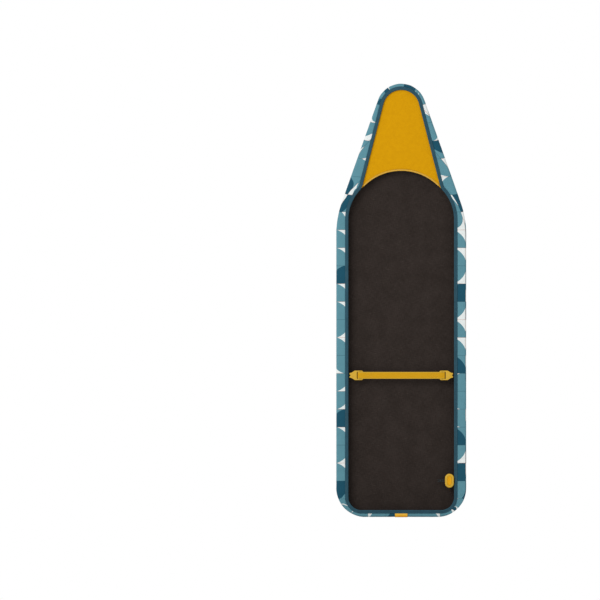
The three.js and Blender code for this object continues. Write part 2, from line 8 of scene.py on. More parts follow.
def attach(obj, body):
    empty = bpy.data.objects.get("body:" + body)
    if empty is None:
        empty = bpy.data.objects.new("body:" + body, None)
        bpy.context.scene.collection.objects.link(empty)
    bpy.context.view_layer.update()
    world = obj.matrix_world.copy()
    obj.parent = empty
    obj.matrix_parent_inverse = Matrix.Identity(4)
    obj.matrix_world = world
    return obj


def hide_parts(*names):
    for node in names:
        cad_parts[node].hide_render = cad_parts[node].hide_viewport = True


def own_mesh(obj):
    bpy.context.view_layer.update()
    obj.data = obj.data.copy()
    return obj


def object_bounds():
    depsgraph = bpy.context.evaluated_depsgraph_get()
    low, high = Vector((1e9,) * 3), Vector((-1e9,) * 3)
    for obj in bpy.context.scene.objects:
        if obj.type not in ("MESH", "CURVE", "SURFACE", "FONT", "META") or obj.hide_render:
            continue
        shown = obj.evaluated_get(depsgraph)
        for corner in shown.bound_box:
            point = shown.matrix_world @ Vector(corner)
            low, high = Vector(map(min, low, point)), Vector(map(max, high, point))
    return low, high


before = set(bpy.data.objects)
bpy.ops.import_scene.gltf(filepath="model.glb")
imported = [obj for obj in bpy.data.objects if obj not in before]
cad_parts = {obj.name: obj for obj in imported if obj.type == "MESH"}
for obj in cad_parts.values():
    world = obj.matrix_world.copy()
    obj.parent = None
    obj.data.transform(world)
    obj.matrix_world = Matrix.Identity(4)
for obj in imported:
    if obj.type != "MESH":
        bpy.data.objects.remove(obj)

packedLow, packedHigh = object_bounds()
scene = bpy.context.scene


# camera, lamps, floor

cameraSetup = {"across": 1.7595, "aimX": -0.2969, "aimZ": 0.0009, "away": 4.0}

cameraData = bpy.data.cameras.new("cameraUnderside")
cameraData.type = "ORTHO"                       # the photograph shows no perspective
cameraData.ortho_scale = cameraSetup["across"]
camera = bpy.data.objects.new("cameraUnderside", cameraData)
camera.location = (cameraSetup["aimX"], -cameraSetup["away"], cameraSetup["aimZ"])
camera.rotation_euler = (pi / 2, 0, 0)
scene.collection.objects.link(camera)
scene.camera = camera


def linearColour(hexCode):
    # an sRGB hex value as Blender's linear colour
    parts = [int(hexCode[i:i + 2], 16) / 255 for i in (1, 3, 5)]
    return tuple(p / 12.92 if p <= 0.04045 else ((p + 0.055) / 1.055) ** 2.4 for p in parts) + (1.0,)


def addNode(tree, kind, inputs=None, **settings):
    # one node, with its settings, and each input either linked from a socket or set to a value
    node = tree.nodes.new(kind)
    for name, value in settings.items():
        setattr(node, name, value)
    for socket, value in (inputs or {}).items():
        if isinstance(value, bpy.types.NodeSocket):
            tree.links.new(value, node.inputs[socket])
        else:
            node.inputs[socket].default_value = value
    return node


waveUnit = 0.314                                # pitch in metres of a wave texture at a scale of 1


def startMaterial(name):
    material = bpy.data.materials.new(name)
    material.use_nodes = True
    material.node_tree.nodes.clear()
    return material, material.node_tree


studio = {
    "worldLevel": 0.66,
    "lampPower": 88.0,
    "lampSize": 2.2,
    "lampPlaces": [(-2.1, -3.2, 1.9), (2.1, 3.2, 1.9)],   # one soft lamp for each face of the cover
    "floorColour": "#f4f4f2",
    "floorSize": 14.0,
}


def lightStudio(setup):
    world = bpy.data.worlds.new("studioWorld")
    scene.world = world
    world.use_nodes = True
    tree = world.node_tree
    tree.nodes.clear()
    ray = addNode(tree, "ShaderNodeLightPath")
    seen = addNode(tree, "ShaderNodeMath", {0: ray.outputs["Is Camera Ray"], 1: ray.outputs["Is Glossy Ray"]},
                   operation="MAXIMUM")
    through = addNode(tree, "ShaderNodeMath", {0: seen.outputs[0], 1: ray.outputs["Is Transmission Ray"]},
                      operation="MAXIMUM")
    soft = addNode(tree, "ShaderNodeBackground", {"Color": (1, 1, 1, 1), "Strength": setup["worldLevel"]})
    white = addNode(tree, "ShaderNodeBackground", {"Color": (1, 1, 1, 1), "Strength": 1.0})
    mix = addNode(tree, "ShaderNodeMixShader", {0: through.outputs[0], 1: soft.outputs[0], 2: white.outputs[0]})
    addNode(tree, "ShaderNodeOutputWorld", {"Surface": mix.outputs[0]})
    for number, place in enumerate(setup["lampPlaces"]):
        data = bpy.data.lights.new(f"softLamp{number}", "AREA")
        data.energy = setup["lampPower"]
        data.size = setup["lampSize"]
        lamp = bpy.data.objects.new(f"softLamp{number}", data)
        lamp.location = place
        lamp.rotation_euler = (-Vector(place)).to_track_quat("-Z", "Y").to_euler()
        scene.collection.objects.link(lamp)


def layFloor(setup):
    # painted board: pale and dull, so that it keeps the cover's shadow
    material, tree = startMaterial("paintedFloorBoard")
    grain = addNode(tree, "ShaderNodeTexNoise", {"Scale": 30.0, "Detail": 3.0})
    tone = addNode(tree, "ShaderNodeMapRange", {"Value": grain.outputs[0], 3: 0.82, 4: 0.9})
    skin = addNode(tree, "ShaderNodeBsdfPrincipled",
                   {"Base Color": linearColour(setup["floorColour"]), "Roughness": tone.outputs[0]})
    addNode(tree, "ShaderNodeOutputMaterial", {"Surface": skin.outputs[0]})
    bm = bmesh.new()
    bmesh.ops.create_grid(bm, x_segments=8, y_segments=8, size=setup["floorSize"] / 2,
                          matrix=Matrix.Translation((0, 0, packedLow.z - 0.0005)))
    mesh = bpy.data.meshes.new("studioFloor")
    bm.to_mesh(mesh)
    bm.free()
    floor = bpy.data.objects.new("studioFloor", mesh)
    floor.data.materials.append(material)
    scene.collection.objects.link(floor)


lightStudio(studio)
layFloor(studio)
print("studio: camera, lamps and floor")


# the two outlines that the whole cover follows

boardShape = {
    "length": 1.270, "width": 0.380, "endCorner": 0.084, "taper": 0.393, "shoulder": 0.280, "nose": 0.072,
}
hemShape = {
    "sideInset": 0.0352, "endInset": 0.020, "tipInset": 0.018, "corner": 0.038, "arch": 0.128, "kink": 0.036,
    "nose": 0.0537, "archFromNose": 0.409, "mouthWidth": 0.231, "kinkReach": 0.010,
}
loopDetail = {                                   # pieces in each round corner, and in the straight run after it
    "corner": 44, "shoulder": 24, "kink": 8, "nose": 64,
    "side": 132, "toKink": 8, "toNose": 48, "end": 48,
}

tipHeight = boardShape["length"] / 2
endHeight = -tipHeight
hemSide = boardShape["width"] / 2 - hemShape["sideInset"]
archCentre = tipHeight - hemShape["archFromNose"]


def touchingAngle(x, z, centreZ, radius):
    # direction of the line from a point that touches a circle on the middle line, on the circle's right
    return atan2(centreZ - z, -x) - asin(radius / hypot(x, centreZ - z))


def bothSides(rightHalf, nose):
    # corners in order round the loop, each with the run that follows it
    runs = [c["run"] for c in rightHalf]
    left = [{**c, "x": -c["x"]} for c in reversed(rightHalf)]
    for corner, run in zip(left, list(reversed(runs))[1:] + [loopDetail["end"]]):
        corner["run"] = run
    return rightHalf + [{**nose, "run": runs[-1]}] + left


boardShoulder = (boardShape["width"] / 2, tipHeight - boardShape["taper"])
boardNoseCentre = tipHeight - boardShape["nose"]
taperAngle = touchingAngle(*boardShoulder, boardNoseCentre, boardShape["nose"])
kinkPoint = (hemShape["mouthWidth"] / 2, archCentre + sqrt(hemSide ** 2 - (hemShape["mouthWidth"] / 2) ** 2))
archAngle = acos(kinkPoint[0] / hemSide)
hemNoseCentre = tipHeight - hemShape["tipInset"] - hemShape["nose"]
pocketAngle = touchingAngle(*kinkPoint, hemNoseCentre, hemShape["nose"])
alongTaper = ((kinkPoint[0] - boardShoulder[0]) * cos(taperAngle)
              + (kinkPoint[1] - boardShoulder[1]) * sin(taperAngle))

boardCorners = bothSides([
    {"x": boardShape["width"] / 2, "z": endHeight, "radius": boardShape["endCorner"],
     "steps": loopDetail["corner"], "run": loopDetail["side"]},
    {"x": boardShoulder[0], "z": boardShoulder[1], "radius": boardShape["shoulder"],
     "steps": loopDetail["shoulder"], "run": loopDetail["toKink"]},
    {"x": boardShoulder[0] + alongTaper * cos(taperAngle), "z": boardShoulder[1] + alongTaper * sin(taperAngle),
     "reach": hemShape["kinkReach"], "steps": loopDetail["kink"], "run": loopDetail["toNose"]},
], {"x": 0, "z": boardShoulder[1] - boardShoulder[0] * tan(taperAngle), "radius": boardShape["nose"],
    "steps": loopDetail["nose"]})

hemCorners = bothSides([
    {"x": hemSide, "z": endHeight + hemShape["endInset"], "radius": hemShape["corner"],
     "steps": loopDetail["corner"], "run": loopDetail["side"]},
    {"x": hemSide, "z": archCentre + hemSide * tan(archAngle / 2), "radius": hemShape["arch"],
     "steps": loopDetail["shoulder"], "run": loopDetail["toKink"]},
    {"x": kinkPoint[0], "z": kinkPoint[1], "radius": hemShape["kink"],
     "steps": loopDetail["kink"], "run": loopDetail["toNose"]},
], {"x": 0, "z": kinkPoint[1] - kinkPoint[0] * tan(pocketAngle), "radius": hemShape["nose"],
    "steps": loopDetail["nose"]})


def loopPoints(corners, outset):
    # (x, z) points round a loop that lies outset outside the named one: round corners and divided straight runs
    count = len(corners)
    places = [Vector((c["x"], c["z"])) for c in corners]
    ways = [(places[(i + 1) % count] - places[i]).normalized() for i in range(count)]
    arcs = []
    for i, corner in enumerate(corners):
        into, out = ways[i - 1], ways[i]
        turn = atan2(into.x * out.y - into.y * out.x, into.dot(out))
        sideIn, sideOut = Vector((into.y, -into.x)), Vector((out.y, -out.x))
        mitre = (sideIn + sideOut) / (1 + sideIn.dot(sideOut))
        place = places[i] + mitre * outset
        steps = corner["steps"]
        if "reach" in corner:
            arcs.append([place + out * corner["reach"] * (2 * k / steps - 1) for k in range(steps + 1)])
            continue
        bulge = 1 if turn > 0 else -1
        radius = corner["radius"] + bulge * outset
        centre = place - mitre * bulge * radius
        start = atan2(sideIn.y, sideIn.x)
        arcs.append([centre + Vector((cos(start + turn * k / steps), sin(start + turn * k / steps))) * bulge * radius
                     for k in range(steps + 1)])
    points = []
    for i, corner in enumerate(corners):
        points += arcs[i]
        after = arcs[(i + 1) % count][0]
        points += [arcs[i][-1].lerp(after, k / corner["run"]) for k in range(1, corner["run"])]
    return points


def distancesAlong(points):
    # how far along the line each point lies
    along = [0.0]
    for before, after in zip(points, points[1:]):
        along.append(along[-1] + dist(before, after))
    return along


boardLoop = loopPoints(boardCorners, 0)
hemLoop = loopPoints(hemCorners, 0)
hemAlong = distancesAlong(hemLoop)
hemLength = hemAlong[-1] + (hemLoop[0] - hemLoop[-1]).length
loopCount = len(hemLoop)
ladderCount = loopCount - (loopDetail["end"] - 1)       # without the inside of the square end's straight run


def roundness():
    # 0 on the straight runs and 1 at the tight corners, where the elastic gathers the cloth most
    shares = []
    for i in range(loopCount):
        before, here, after = boardLoop[i - 1], boardLoop[i], boardLoop[(i + 1) % loopCount]
        into, out = here - before, after - here
        turn = abs(atan2(into.x * out.y - into.y * out.x, into.dot(out)))
        shares.append(min(1.0, 2 * turn / (into.length + out.length) / 12.0))
    reach = 9
    return [sum(shares[(i + k) % loopCount] for k in range(-reach, reach + 1)) / (2 * reach + 1)
            for i in range(loopCount)]


gatherShare = roundness()


# mesh helpers

def startPlaced(layerName):
    # an empty bmesh whose vertices keep their place on the flat cloth or along the cord
    bm = bmesh.new()
    return bm, bm.verts.layers.float_vector.new(layerName)


def turnOutwards(bm):
    bmesh.ops.recalc_face_normals(bm, faces=bm.faces[:])


def chainOf(bm, points, layer=None, places=None, closed=True):
    # a chain of edges, whose vertices keep their place on the flat cloth
    verts = [bm.verts.new(p) for p in points]
    if layer is not None:
        for vert, place in zip(verts, places):
            vert[layer] = Vector((place[0], place[1], 0))
    last = len(verts) if closed else len(verts) - 1
    edges = [bm.edges.new((verts[i], verts[(i + 1) % len(verts)])) for i in range(last)]
    return verts, edges


def nextRow(bm, chain, points, layer=None, places=None):
    # the last chain extruded, and the new row put in its place
    made = bmesh.ops.extrude_edge_only(bm, edges=chain[1])["geom"]
    fresh = {v for v in made if isinstance(v, bmesh.types.BMVert)}
    verts = [next(e.other_vert(v) for e in v.link_edges if e.other_vert(v) in fresh) for v in chain[0]]
    for vert, point in zip(verts, points):
        vert.co = point
    if layer is not None:
        for vert, place in zip(verts, places):
            vert[layer] = Vector((place[0], place[1], 0))
    edges = [e for e in made if isinstance(e, bmesh.types.BMEdge) and e.verts[0] in fresh and e.verts[1] in fresh]
    return verts, edges


def layRows(bm, rows, layer=None, places=None, closed=True):
    # a chain for the first row, and one extrusion for each that follows
    chain = chainOf(bm, rows[0], layer, places[0] if places else None, closed)
    first = chain
    for k, row in enumerate(rows[1:], 1):
        chain = nextRow(bm, chain, row, layer, places[k] if places else None)
    return first, chain


def layCapped(bm, rows, layer=None, places=None):
    # closed rows, with a face over the first and the last
    for end in layRows(bm, rows, layer, places):
        bmesh.ops.contextual_create(bm, geom=end[1])


def fillAcross(bm, *outlines):
    # rungs across each outline, from every point to the one that mirrors it, divided as the square end is
    half = (ladderCount - 1) // 2
    partner = {}
    for verts in outlines:
        right = [bm.edges.get((verts[i], verts[i + 1])) for i in range(half - 1)]
        left = [bm.edges.get((verts[i], verts[i + 1])) for i in range(half + 1, ladderCount - 1)]
        bmesh.ops.bridge_loops(bm, edges=right + left)
        bmesh.ops.contextual_create(bm, geom=[verts[half - 1], verts[half], verts[half + 1]])
        partner.update({verts[i]: verts[ladderCount - 1 - i] for i in range(ladderCount)})
    rungs = [e for e in bm.edges if partner.get(e.verts[0]) == e.verts[1]]
    bmesh.ops.subdivide_edges(bm, edges=rungs, cuts=loopDetail["end"] - 1, use_grid_fill=True)
    bmesh.ops.remove_doubles(bm, verts=bm.verts[:], dist=1e-5)


def finishPiece(name, bm, materials, body, replaced=(), sharpAngle=None):
    # the mesh becomes a piece that rides on a body and stands for CAD nodes
    for face in bm.faces:
        face.smooth = True
    mesh = bpy.data.meshes.new(name)
    bm.to_mesh(mesh)
    bm.free()
    if sharpAngle is not None:
        mesh.set_sharp_from_angle(angle=sharpAngle)
    piece = bpy.data.objects.new(name, mesh)
    for material in materials:
        piece.data.materials.append(material)
    scene.collection.objects.link(piece)
    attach(piece, body)
    if replaced:
        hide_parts(*replaced)
    return piece


def giveThickness(piece, thickness, offset, inside=0):
    wall = piece.modifiers.new("clothThickness", "SOLIDIFY")
    wall.thickness = thickness
    wall.offset = offset
    wall.material_offset = inside


def areaInside(points):
    return abs(sum(p.x * q.y - q.x * p.y for p, q in zip(points, points[1:] + points[:1]))) / 2


def cutSize(outline):
    # width and length of a flat cut
    xs, zs = [p.x for p in outline], [p.y for p in outline]
    return max(xs) - min(xs), max(zs) - min(zs)


def shapeStitch():
    # the one stitch that every row repeats
    bm = bmesh.new()
    bmesh.ops.create_uvsphere(bm, u_segments=6, v_segments=4, radius=1)
    mesh = bpy.data.meshes.new("oneStitch")
    bm.to_mesh(mesh)
    bm.free()
    return mesh


oneStitch = shapeStitch()


def sewStitch(bm, place, heading, outward, length, radius):
    # one raised stitch of thread
    side = outward.cross(heading).normalized()
    turned = Matrix((heading * length / 2, side * radius, outward * radius)).transposed()
    before = len(bm.verts)
    bm.from_mesh(oneStitch)
    bm.verts.ensure_lookup_table()
    for vert in bm.verts[before:]:
        vert.co = place + turned @ vert.co


def sweepTube(bm, path, radius, sides, layer=None):
    # a round cord along a path, with its length and its girth kept for the braid
    along = 0.0
    rows, places = [], []
    normal = (path[1] - path[0]).orthogonal().normalized()
    for i, place in enumerate(path):
        heading = (path[min(i + 1, len(path) - 1)] - path[max(i - 1, 0)]).normalized()
        normal = (normal - heading * normal.dot(heading)).normalized()
        across = heading.cross(normal)
        if i:
            along += (place - path[i - 1]).length
        turns = [2 * pi * k / sides for k in range(sides)]
        rows.append([place + (normal * cos(a) + across * sin(a)) * radius for a in turns])
        places.append([(along, radius * a) for a in turns])
    layCapped(bm, rows, layer, places)


# materials of the cloth

printLayout = {
    "cell": 0.0526, "shift": 0.0125, "darkShare": 0.485, "discReach": 1.045, "lineWidth": 0.0012,
    "white": "#dadfde", "teal": "#568693", "dark": "#174a5d",
    "lineOnWhite": "#e3bdb0", "lineOnTeal": "#b9c4c7",
    "threadPitch": 0.0013,                                # threads drawn three times as coarse as they are
}


def printedCotton(setup):
    # combed cotton, plain woven and pigment printed: matt, flat colours, a faint relief of threads
    material, tree = startMaterial("printedCotton")
    place = addNode(tree, "ShaderNodeAttribute", attribute_name="printPlace")
    scale = 1 / setup["cell"]
    cells = addNode(tree, "ShaderNodeVectorMath",
                    {0: place.outputs["Vector"], 1: (scale, scale, 0),
                     2: ((boardShape["width"] / 2 + setup["shift"]) * scale + 40, tipHeight * scale + 40, 0)},
                    operation="MULTIPLY_ADD")
    whole = addNode(tree, "ShaderNodeVectorMath", {0: cells.outputs[0]}, operation="FLOOR")
    within = addNode(tree, "ShaderNodeVectorMath", {0: cells.outputs[0]}, operation="FRACTION")
    # a chance for each cell: which corner its quarter disc is about, and whether it is a dark one
    chance = addNode(tree, "ShaderNodeTexWhiteNoise", {"Vector": whole.outputs[0]}, noise_dimensions="3D")
    doubled = addNode(tree, "ShaderNodeVectorMath", {0: chance.outputs["Color"], 1: (2, 2, 0)}, operation="MULTIPLY")
    corner = addNode(tree, "ShaderNodeVectorMath", {0: doubled.outputs[0]}, operation="FLOOR")
    reach = addNode(tree, "ShaderNodeVectorMath", {0: within.outputs[0], 1: corner.outputs[0]}, operation="DISTANCE")
    inDisc = addNode(tree, "ShaderNodeMath", {0: reach.outputs["Value"], 1: setup["discReach"]},
                     operation="LESS_THAN")
    third = addNode(tree, "ShaderNodeSeparateColor", {0: chance.outputs["Color"]})
    rare = addNode(tree, "ShaderNodeMath", {0: third.outputs[2], 1: setup["darkShare"]}, operation="LESS_THAN")
    diagonal = addNode(tree, "ShaderNodeVectorMath", {0: whole.outputs[0], 1: (0.5, 0.5, 0)},
                       operation="DOT_PRODUCT")
    parity = addNode(tree, "ShaderNodeMath", {0: diagonal.outputs["Value"]}, operation="FRACT")
    even = addNode(tree, "ShaderNodeMath", {0: parity.outputs[0], 1: 0.25}, operation="LESS_THAN")
    isDark = addNode(tree, "ShaderNodeMath", {0: rare.outputs[0], 1: even.outputs[0]}, operation="MULTIPLY")
    ground = addNode(tree, "ShaderNodeMix", {0: isDark.outputs[0], 6: linearColour(setup["white"]),
                                             7: linearColour(setup["teal"])}, data_type="RGBA")
    disc = addNode(tree, "ShaderNodeMix", {0: isDark.outputs[0], 6: linearColour(setup["teal"]),
                                           7: linearColour(setup["dark"])}, data_type="RGBA")
    patch = addNode(tree, "ShaderNodeMix", {0: inDisc.outputs[0], 6: ground.outputs[2], 7: disc.outputs[2]},
                    data_type="RGBA")
    # a printed hairline round each cell, faint rust on the white and deeper teal on the teal
    onGround = addNode(tree, "ShaderNodeMath", {0: inDisc.outputs[0], 1: isDark.outputs[0]}, operation="MAXIMUM")
    lineColour = addNode(tree, "ShaderNodeMix", {0: onGround.outputs[0], 6: linearColour(setup["lineOnWhite"]),
                                                 7: linearColour(setup["lineOnTeal"])}, data_type="RGBA")
    centred = addNode(tree, "ShaderNodeVectorMath", {0: within.outputs[0], 1: (0.5, 0.5, 0)}, operation="SUBTRACT")
    folded = addNode(tree, "ShaderNodeVectorMath", {0: centred.outputs[0]}, operation="ABSOLUTE")
    parts = addNode(tree, "ShaderNodeSeparateXYZ", {0: folded.outputs[0]})
    edge = addNode(tree, "ShaderNodeMath", {0: parts.outputs[0], 1: parts.outputs[1]}, operation="MAXIMUM")
    onLine = addNode(tree, "ShaderNodeMath", {0: edge.outputs[0], 1: 0.5 - setup["lineWidth"] * scale / 2},
                     operation="GREATER_THAN")
    lined = addNode(tree, "ShaderNodeMix", {0: onLine.outputs[0], 6: patch.outputs[2],
                                            7: lineColour.outputs[2]}, data_type="RGBA", blend_type="MULTIPLY")
    # the print sits a little unevenly on the threads
    cloud = addNode(tree, "ShaderNodeTexNoise", {"Vector": place.outputs["Vector"], "Scale": 45.0, "Detail": 5.0})
    tone = addNode(tree, "ShaderNodeMapRange", {"Value": cloud.outputs[0], 1: 0.3, 2: 0.7, 3: 0.955, 4: 1.03})
    toned = addNode(tree, "ShaderNodeVectorMath", {0: lined.outputs[2], "Scale": tone.outputs[0]},
                    operation="SCALE")
    warp = addNode(tree, "ShaderNodeTexWave", {"Vector": place.outputs["Vector"],
                                               "Scale": waveUnit / setup["threadPitch"]}, bands_direction="X")
    weft = addNode(tree, "ShaderNodeTexWave", {"Vector": place.outputs["Vector"],
                                               "Scale": waveUnit / setup["threadPitch"]}, bands_direction="Y")
    threads = addNode(tree, "ShaderNodeMath", {0: warp.outputs["Fac"], 1: weft.outputs["Fac"]}, operation="MULTIPLY")
    relief = addNode(tree, "ShaderNodeBump", {"Height": threads.outputs[0], "Strength": 0.18,
                                              "Distance": 0.0003})
    rough = addNode(tree, "ShaderNodeMapRange", {"Value": threads.outputs[0], 3: 0.9, 4: 0.8})
    skin = addNode(tree, "ShaderNodeBsdfPrincipled",
                   {"Base Color": toned.outputs[0], "Roughness": rough.outputs[0], "Normal": relief.outputs[0],
                    "Specular IOR Level": 0.12, "Sheen Weight": 0.04, "Sheen Roughness": 0.6})
    addNode(tree, "ShaderNodeOutputMaterial", {"Surface": skin.outputs[0]})
    return material


wovenCloths = {
    # colour, its variation, thread spacing, how much the threads stand up, gloss
    "cottonReverse": {"colours": ("#9fb4ba", "#b3c3c6"), "threads": 0.0013, "relief": 0.2, "rough": 0.9,
                      "shine": 0.1, "layer": "printPlace"},
    "biasTape": {"colours": ("#284855", "#2e5160"), "threads": 0.0012, "relief": 0.35, "rough": 0.82,
                 "shine": 0.12, "layer": "clothPlace"},
    "pocketDrill": {"colours": ("#c88f04", "#cf9606"), "threads": 0.0014, "relief": 0.22, "rough": 0.85,
                    "shine": 0.06, "layer": "clothPlace"},
    "paleTape": {"colours": ("#c99a34", "#d1a444"), "threads": 0.0011, "relief": 0.3, "rough": 0.78,
                 "shine": 0.15, "layer": "clothPlace"},
}


def wovenCloth(name, setup):
    # plain woven cloth or tape: two crossing sets of threads, drawn coarse enough to show
    material, tree = startMaterial(name)
    place = addNode(tree, "ShaderNodeAttribute", attribute_name=setup["layer"])
    scale = waveUnit / setup["threads"]
    warp = addNode(tree, "ShaderNodeTexWave", {"Vector": place.outputs["Vector"], "Scale": scale},
                   bands_direction="X")
    weft = addNode(tree, "ShaderNodeTexWave", {"Vector": place.outputs["Vector"], "Scale": scale},
                   bands_direction="Y")
    threads = addNode(tree, "ShaderNodeMath", {0: warp.outputs["Fac"], 1: weft.outputs["Fac"]}, operation="MULTIPLY")
    cloud = addNode(tree, "ShaderNodeTexNoise", {"Vector": place.outputs["Vector"], "Scale": 70.0, "Detail": 6.0,
                                                 "Roughness": 0.65})
    shade = addNode(tree, "ShaderNodeMapRange", {"Value": cloud.outputs[0], 1: 0.32, 2: 0.68})
    colour = addNode(tree, "ShaderNodeMix", {0: shade.outputs[0], 6: linearColour(setup["colours"][0]),
                                             7: linearColour(setup["colours"][1])}, data_type="RGBA")
    between = addNode(tree, "ShaderNodeMapRange", {"Value": threads.outputs[0], 3: 0.93, 4: 1.03})
    toned = addNode(tree, "ShaderNodeVectorMath", {0: colour.outputs[2], "Scale": between.outputs[0]},
                    operation="SCALE")
    relief = addNode(tree, "ShaderNodeBump", {"Height": threads.outputs[0], "Strength": setup["relief"],
                                              "Distance": 0.0003})
    rough = addNode(tree, "ShaderNodeMapRange", {"Value": cloud.outputs[0], 3: setup["rough"] - 0.05,
                                                 4: setup["rough"] + 0.05})
    skin = addNode(tree, "ShaderNodeBsdfPrincipled",
                   {"Base Color": toned.outputs[0], "Roughness": rough.outputs[0], "Normal": relief.outputs[0],
                    "Specular IOR Level": setup["shine"]})
    addNode(tree, "ShaderNodeOutputMaterial", {"Surface": skin.outputs[0]})
    return material


feltLook = {"colours": ("#28221f", "#342d2a"), "fleck": "#433c38", "fibreWidth": 0.0016, "fibreLength": 0.012}


def needledFelt(setup):
    # recycled fibre, needle punched: very dull, a mat of short fibres with pale flecks among them
    material, tree = startMaterial("needledFelt")
    place = addNode(tree, "ShaderNodeTexCoord")
    wide, long = 1 / setup["fibreWidth"], 1 / setup["fibreLength"]
    lying = addNode(tree, "ShaderNodeMapping", {"Vector": place.outputs["Object"], "Rotation": (0, 0.5, 0),
                                                "Scale": (long, 40.0, wide)})
    crossing = addNode(tree, "ShaderNodeMapping", {"Vector": place.outputs["Object"], "Rotation": (0, -0.7, 0),
                                                   "Scale": (wide, 40.0, long)})
    fibresA = addNode(tree, "ShaderNodeTexNoise", {"Vector": lying.outputs[0], "Scale": 1.0, "Detail": 3.0})
    fibresB = addNode(tree, "ShaderNodeTexNoise", {"Vector": crossing.outputs[0], "Scale": 1.0, "Detail": 3.0})
    mat = addNode(tree, "ShaderNodeMath", {0: fibresA.outputs[0], 1: fibresB.outputs[0]}, operation="ADD")
    halved = addNode(tree, "ShaderNodeMath", {0: mat.outputs[0], 1: 0.5}, operation="MULTIPLY")
    cloud = addNode(tree, "ShaderNodeTexNoise", {"Vector": place.outputs["Object"], "Scale": 22.0, "Detail": 4.0})
    both = addNode(tree, "ShaderNodeMath", {0: cloud.outputs[0], 1: 0.35, 2: halved.outputs[0]},
                   operation="MULTIPLY_ADD")
    shade = addNode(tree, "ShaderNodeMapRange", {"Value": both.outputs[0], 1: 0.55, 2: 0.8})
    colour = addNode(tree, "ShaderNodeMix", {0: shade.outputs[0], 6: linearColour(setup["colours"][0]),
                                             7: linearColour(setup["colours"][1])}, data_type="RGBA")
    speck = addNode(tree, "ShaderNodeMapRange", {"Value": fibresA.outputs[0], 1: 0.66, 2: 0.74})
    flecked = addNode(tree, "ShaderNodeMix", {0: speck.outputs[0], 6: colour.outputs[2],
                                              7: linearColour(setup["fleck"])}, data_type="RGBA")
    relief = addNode(tree, "ShaderNodeBump", {"Height": halved.outputs[0], "Strength": 0.35, "Distance": 0.0008})
    rough = addNode(tree, "ShaderNodeMapRange", {"Value": halved.outputs[0], 3: 0.92, 4: 1.0})
    skin = addNode(tree, "ShaderNodeBsdfPrincipled",
                   {"Base Color": flecked.outputs[2], "Roughness": rough.outputs[0], "Normal": relief.outputs[0],
                    "Specular IOR Level": 0.05})
    addNode(tree, "ShaderNodeOutputMaterial", {"Surface": skin.outputs[0]})
    return material


def openCellFoam():
    # polyether foam, sliced: chalky cream with fine open cells
    material, tree = startMaterial("openCellFoam")
    place = addNode(tree, "ShaderNodeTexCoord")
    cells = addNode(tree, "ShaderNodeTexVoronoi", {"Vector": place.outputs["Object"], "Scale": 700.0})
    colour = addNode(tree, "ShaderNodeMix", {0: cells.outputs["Distance"], 6: linearColour("#cfc8b4"),
                                             7: linearColour("#dfdacb")}, data_type="RGBA")
    relief = addNode(tree, "ShaderNodeBump", {"Height": cells.outputs["Distance"], "Strength": 0.5,
                                              "Distance": 0.0004})
    skin = addNode(tree, "ShaderNodeBsdfPrincipled",
                   {"Base Color": colour.outputs[2], "Roughness": 0.95, "Normal": relief.outputs[0],
                    "Specular IOR Level": 0.1})
    addNode(tree, "ShaderNodeOutputMaterial", {"Surface": skin.outputs[0]})
    return material


printed = printedCotton(printLayout)
reverse = wovenCloth("cottonReverse", wovenCloths["cottonReverse"])
biasTape = wovenCloth("biasTape", wovenCloths["biasTape"])
pocketDrill = wovenCloth("pocketDrill", wovenCloths["pocketDrill"])
paleTape = wovenCloth("paleTape", wovenCloths["paleTape"])
felt = needledFelt(feltLook)
foam = openCellFoam()
print("materials: print, tapes, felt and foam")


# the printed cotton cover: face, rounded edge, side, rim and the skirt that turns under

clothCover = {
    "faceLevel": 0.0085, "edgeRound": 0.008, "rimRound": 0.006, "skirtFront": -0.0245, "thickness": 0.0008,
    "edgeRows": 6, "sideRows": 4, "rimRows": 6, "skirtRows": 10, "hemEdge": 0.007,
    "bindingWidth": 0.010, "pastBinding": 0.0005, "puckerFade": 0.005,
    "pucker": 0.0017, "puckerPitch": 0.0125,              # small folds where the elastic draws the cloth in
    "wander": 2.2, "wanderScale": 25,                     # how far, and how often, the folds stray from their pitch
    "give": 0.0004, "givePitch": 0.0275, "giveTop": 0.004, "giveDepth": 0.026,   # the side gives between gathers
    "softness": 0.00025, "softScale": 14,                 # how unevenly the cloth lies on the foam
}


coverSettling = {
    "spare": 0.016,                                       # the cloth is this much larger than the room it has
    "diagonalShare": 0.4,                                 # how strong the bias of the cloth is beside its threads
    "evenness": 0.04, "swing": 0.9,                       # how far a move spreads, and how much of it goes on
    "steps": 220, "furthest": 0.0013,
    "heldDown": 0.001, "looseDown": 0.004,                # below the face: still held, and wholly loose
    "heldPast": 0.0015, "tagHalf": 0.026,                 # past the binding, and each side of the tag's middle
}


def heldShare(place, hemLine, setup):
    # the face lies still on the foam, the binding holds the hem, and the tag holds the square end
    if hemLine.find((place.x, place.z, 0))[2] < clothCover["bindingWidth"] + setup["heldPast"]:
        return 1.0
    if abs(place.x) < setup["tagHalf"] and place.z < 0:
        return 1.0
    fallen = clothCover["faceLevel"] - place.y
    return min(1.0, max(0.0, (setup["looseDown"] - fallen) / (setup["looseDown"] - setup["heldDown"])))


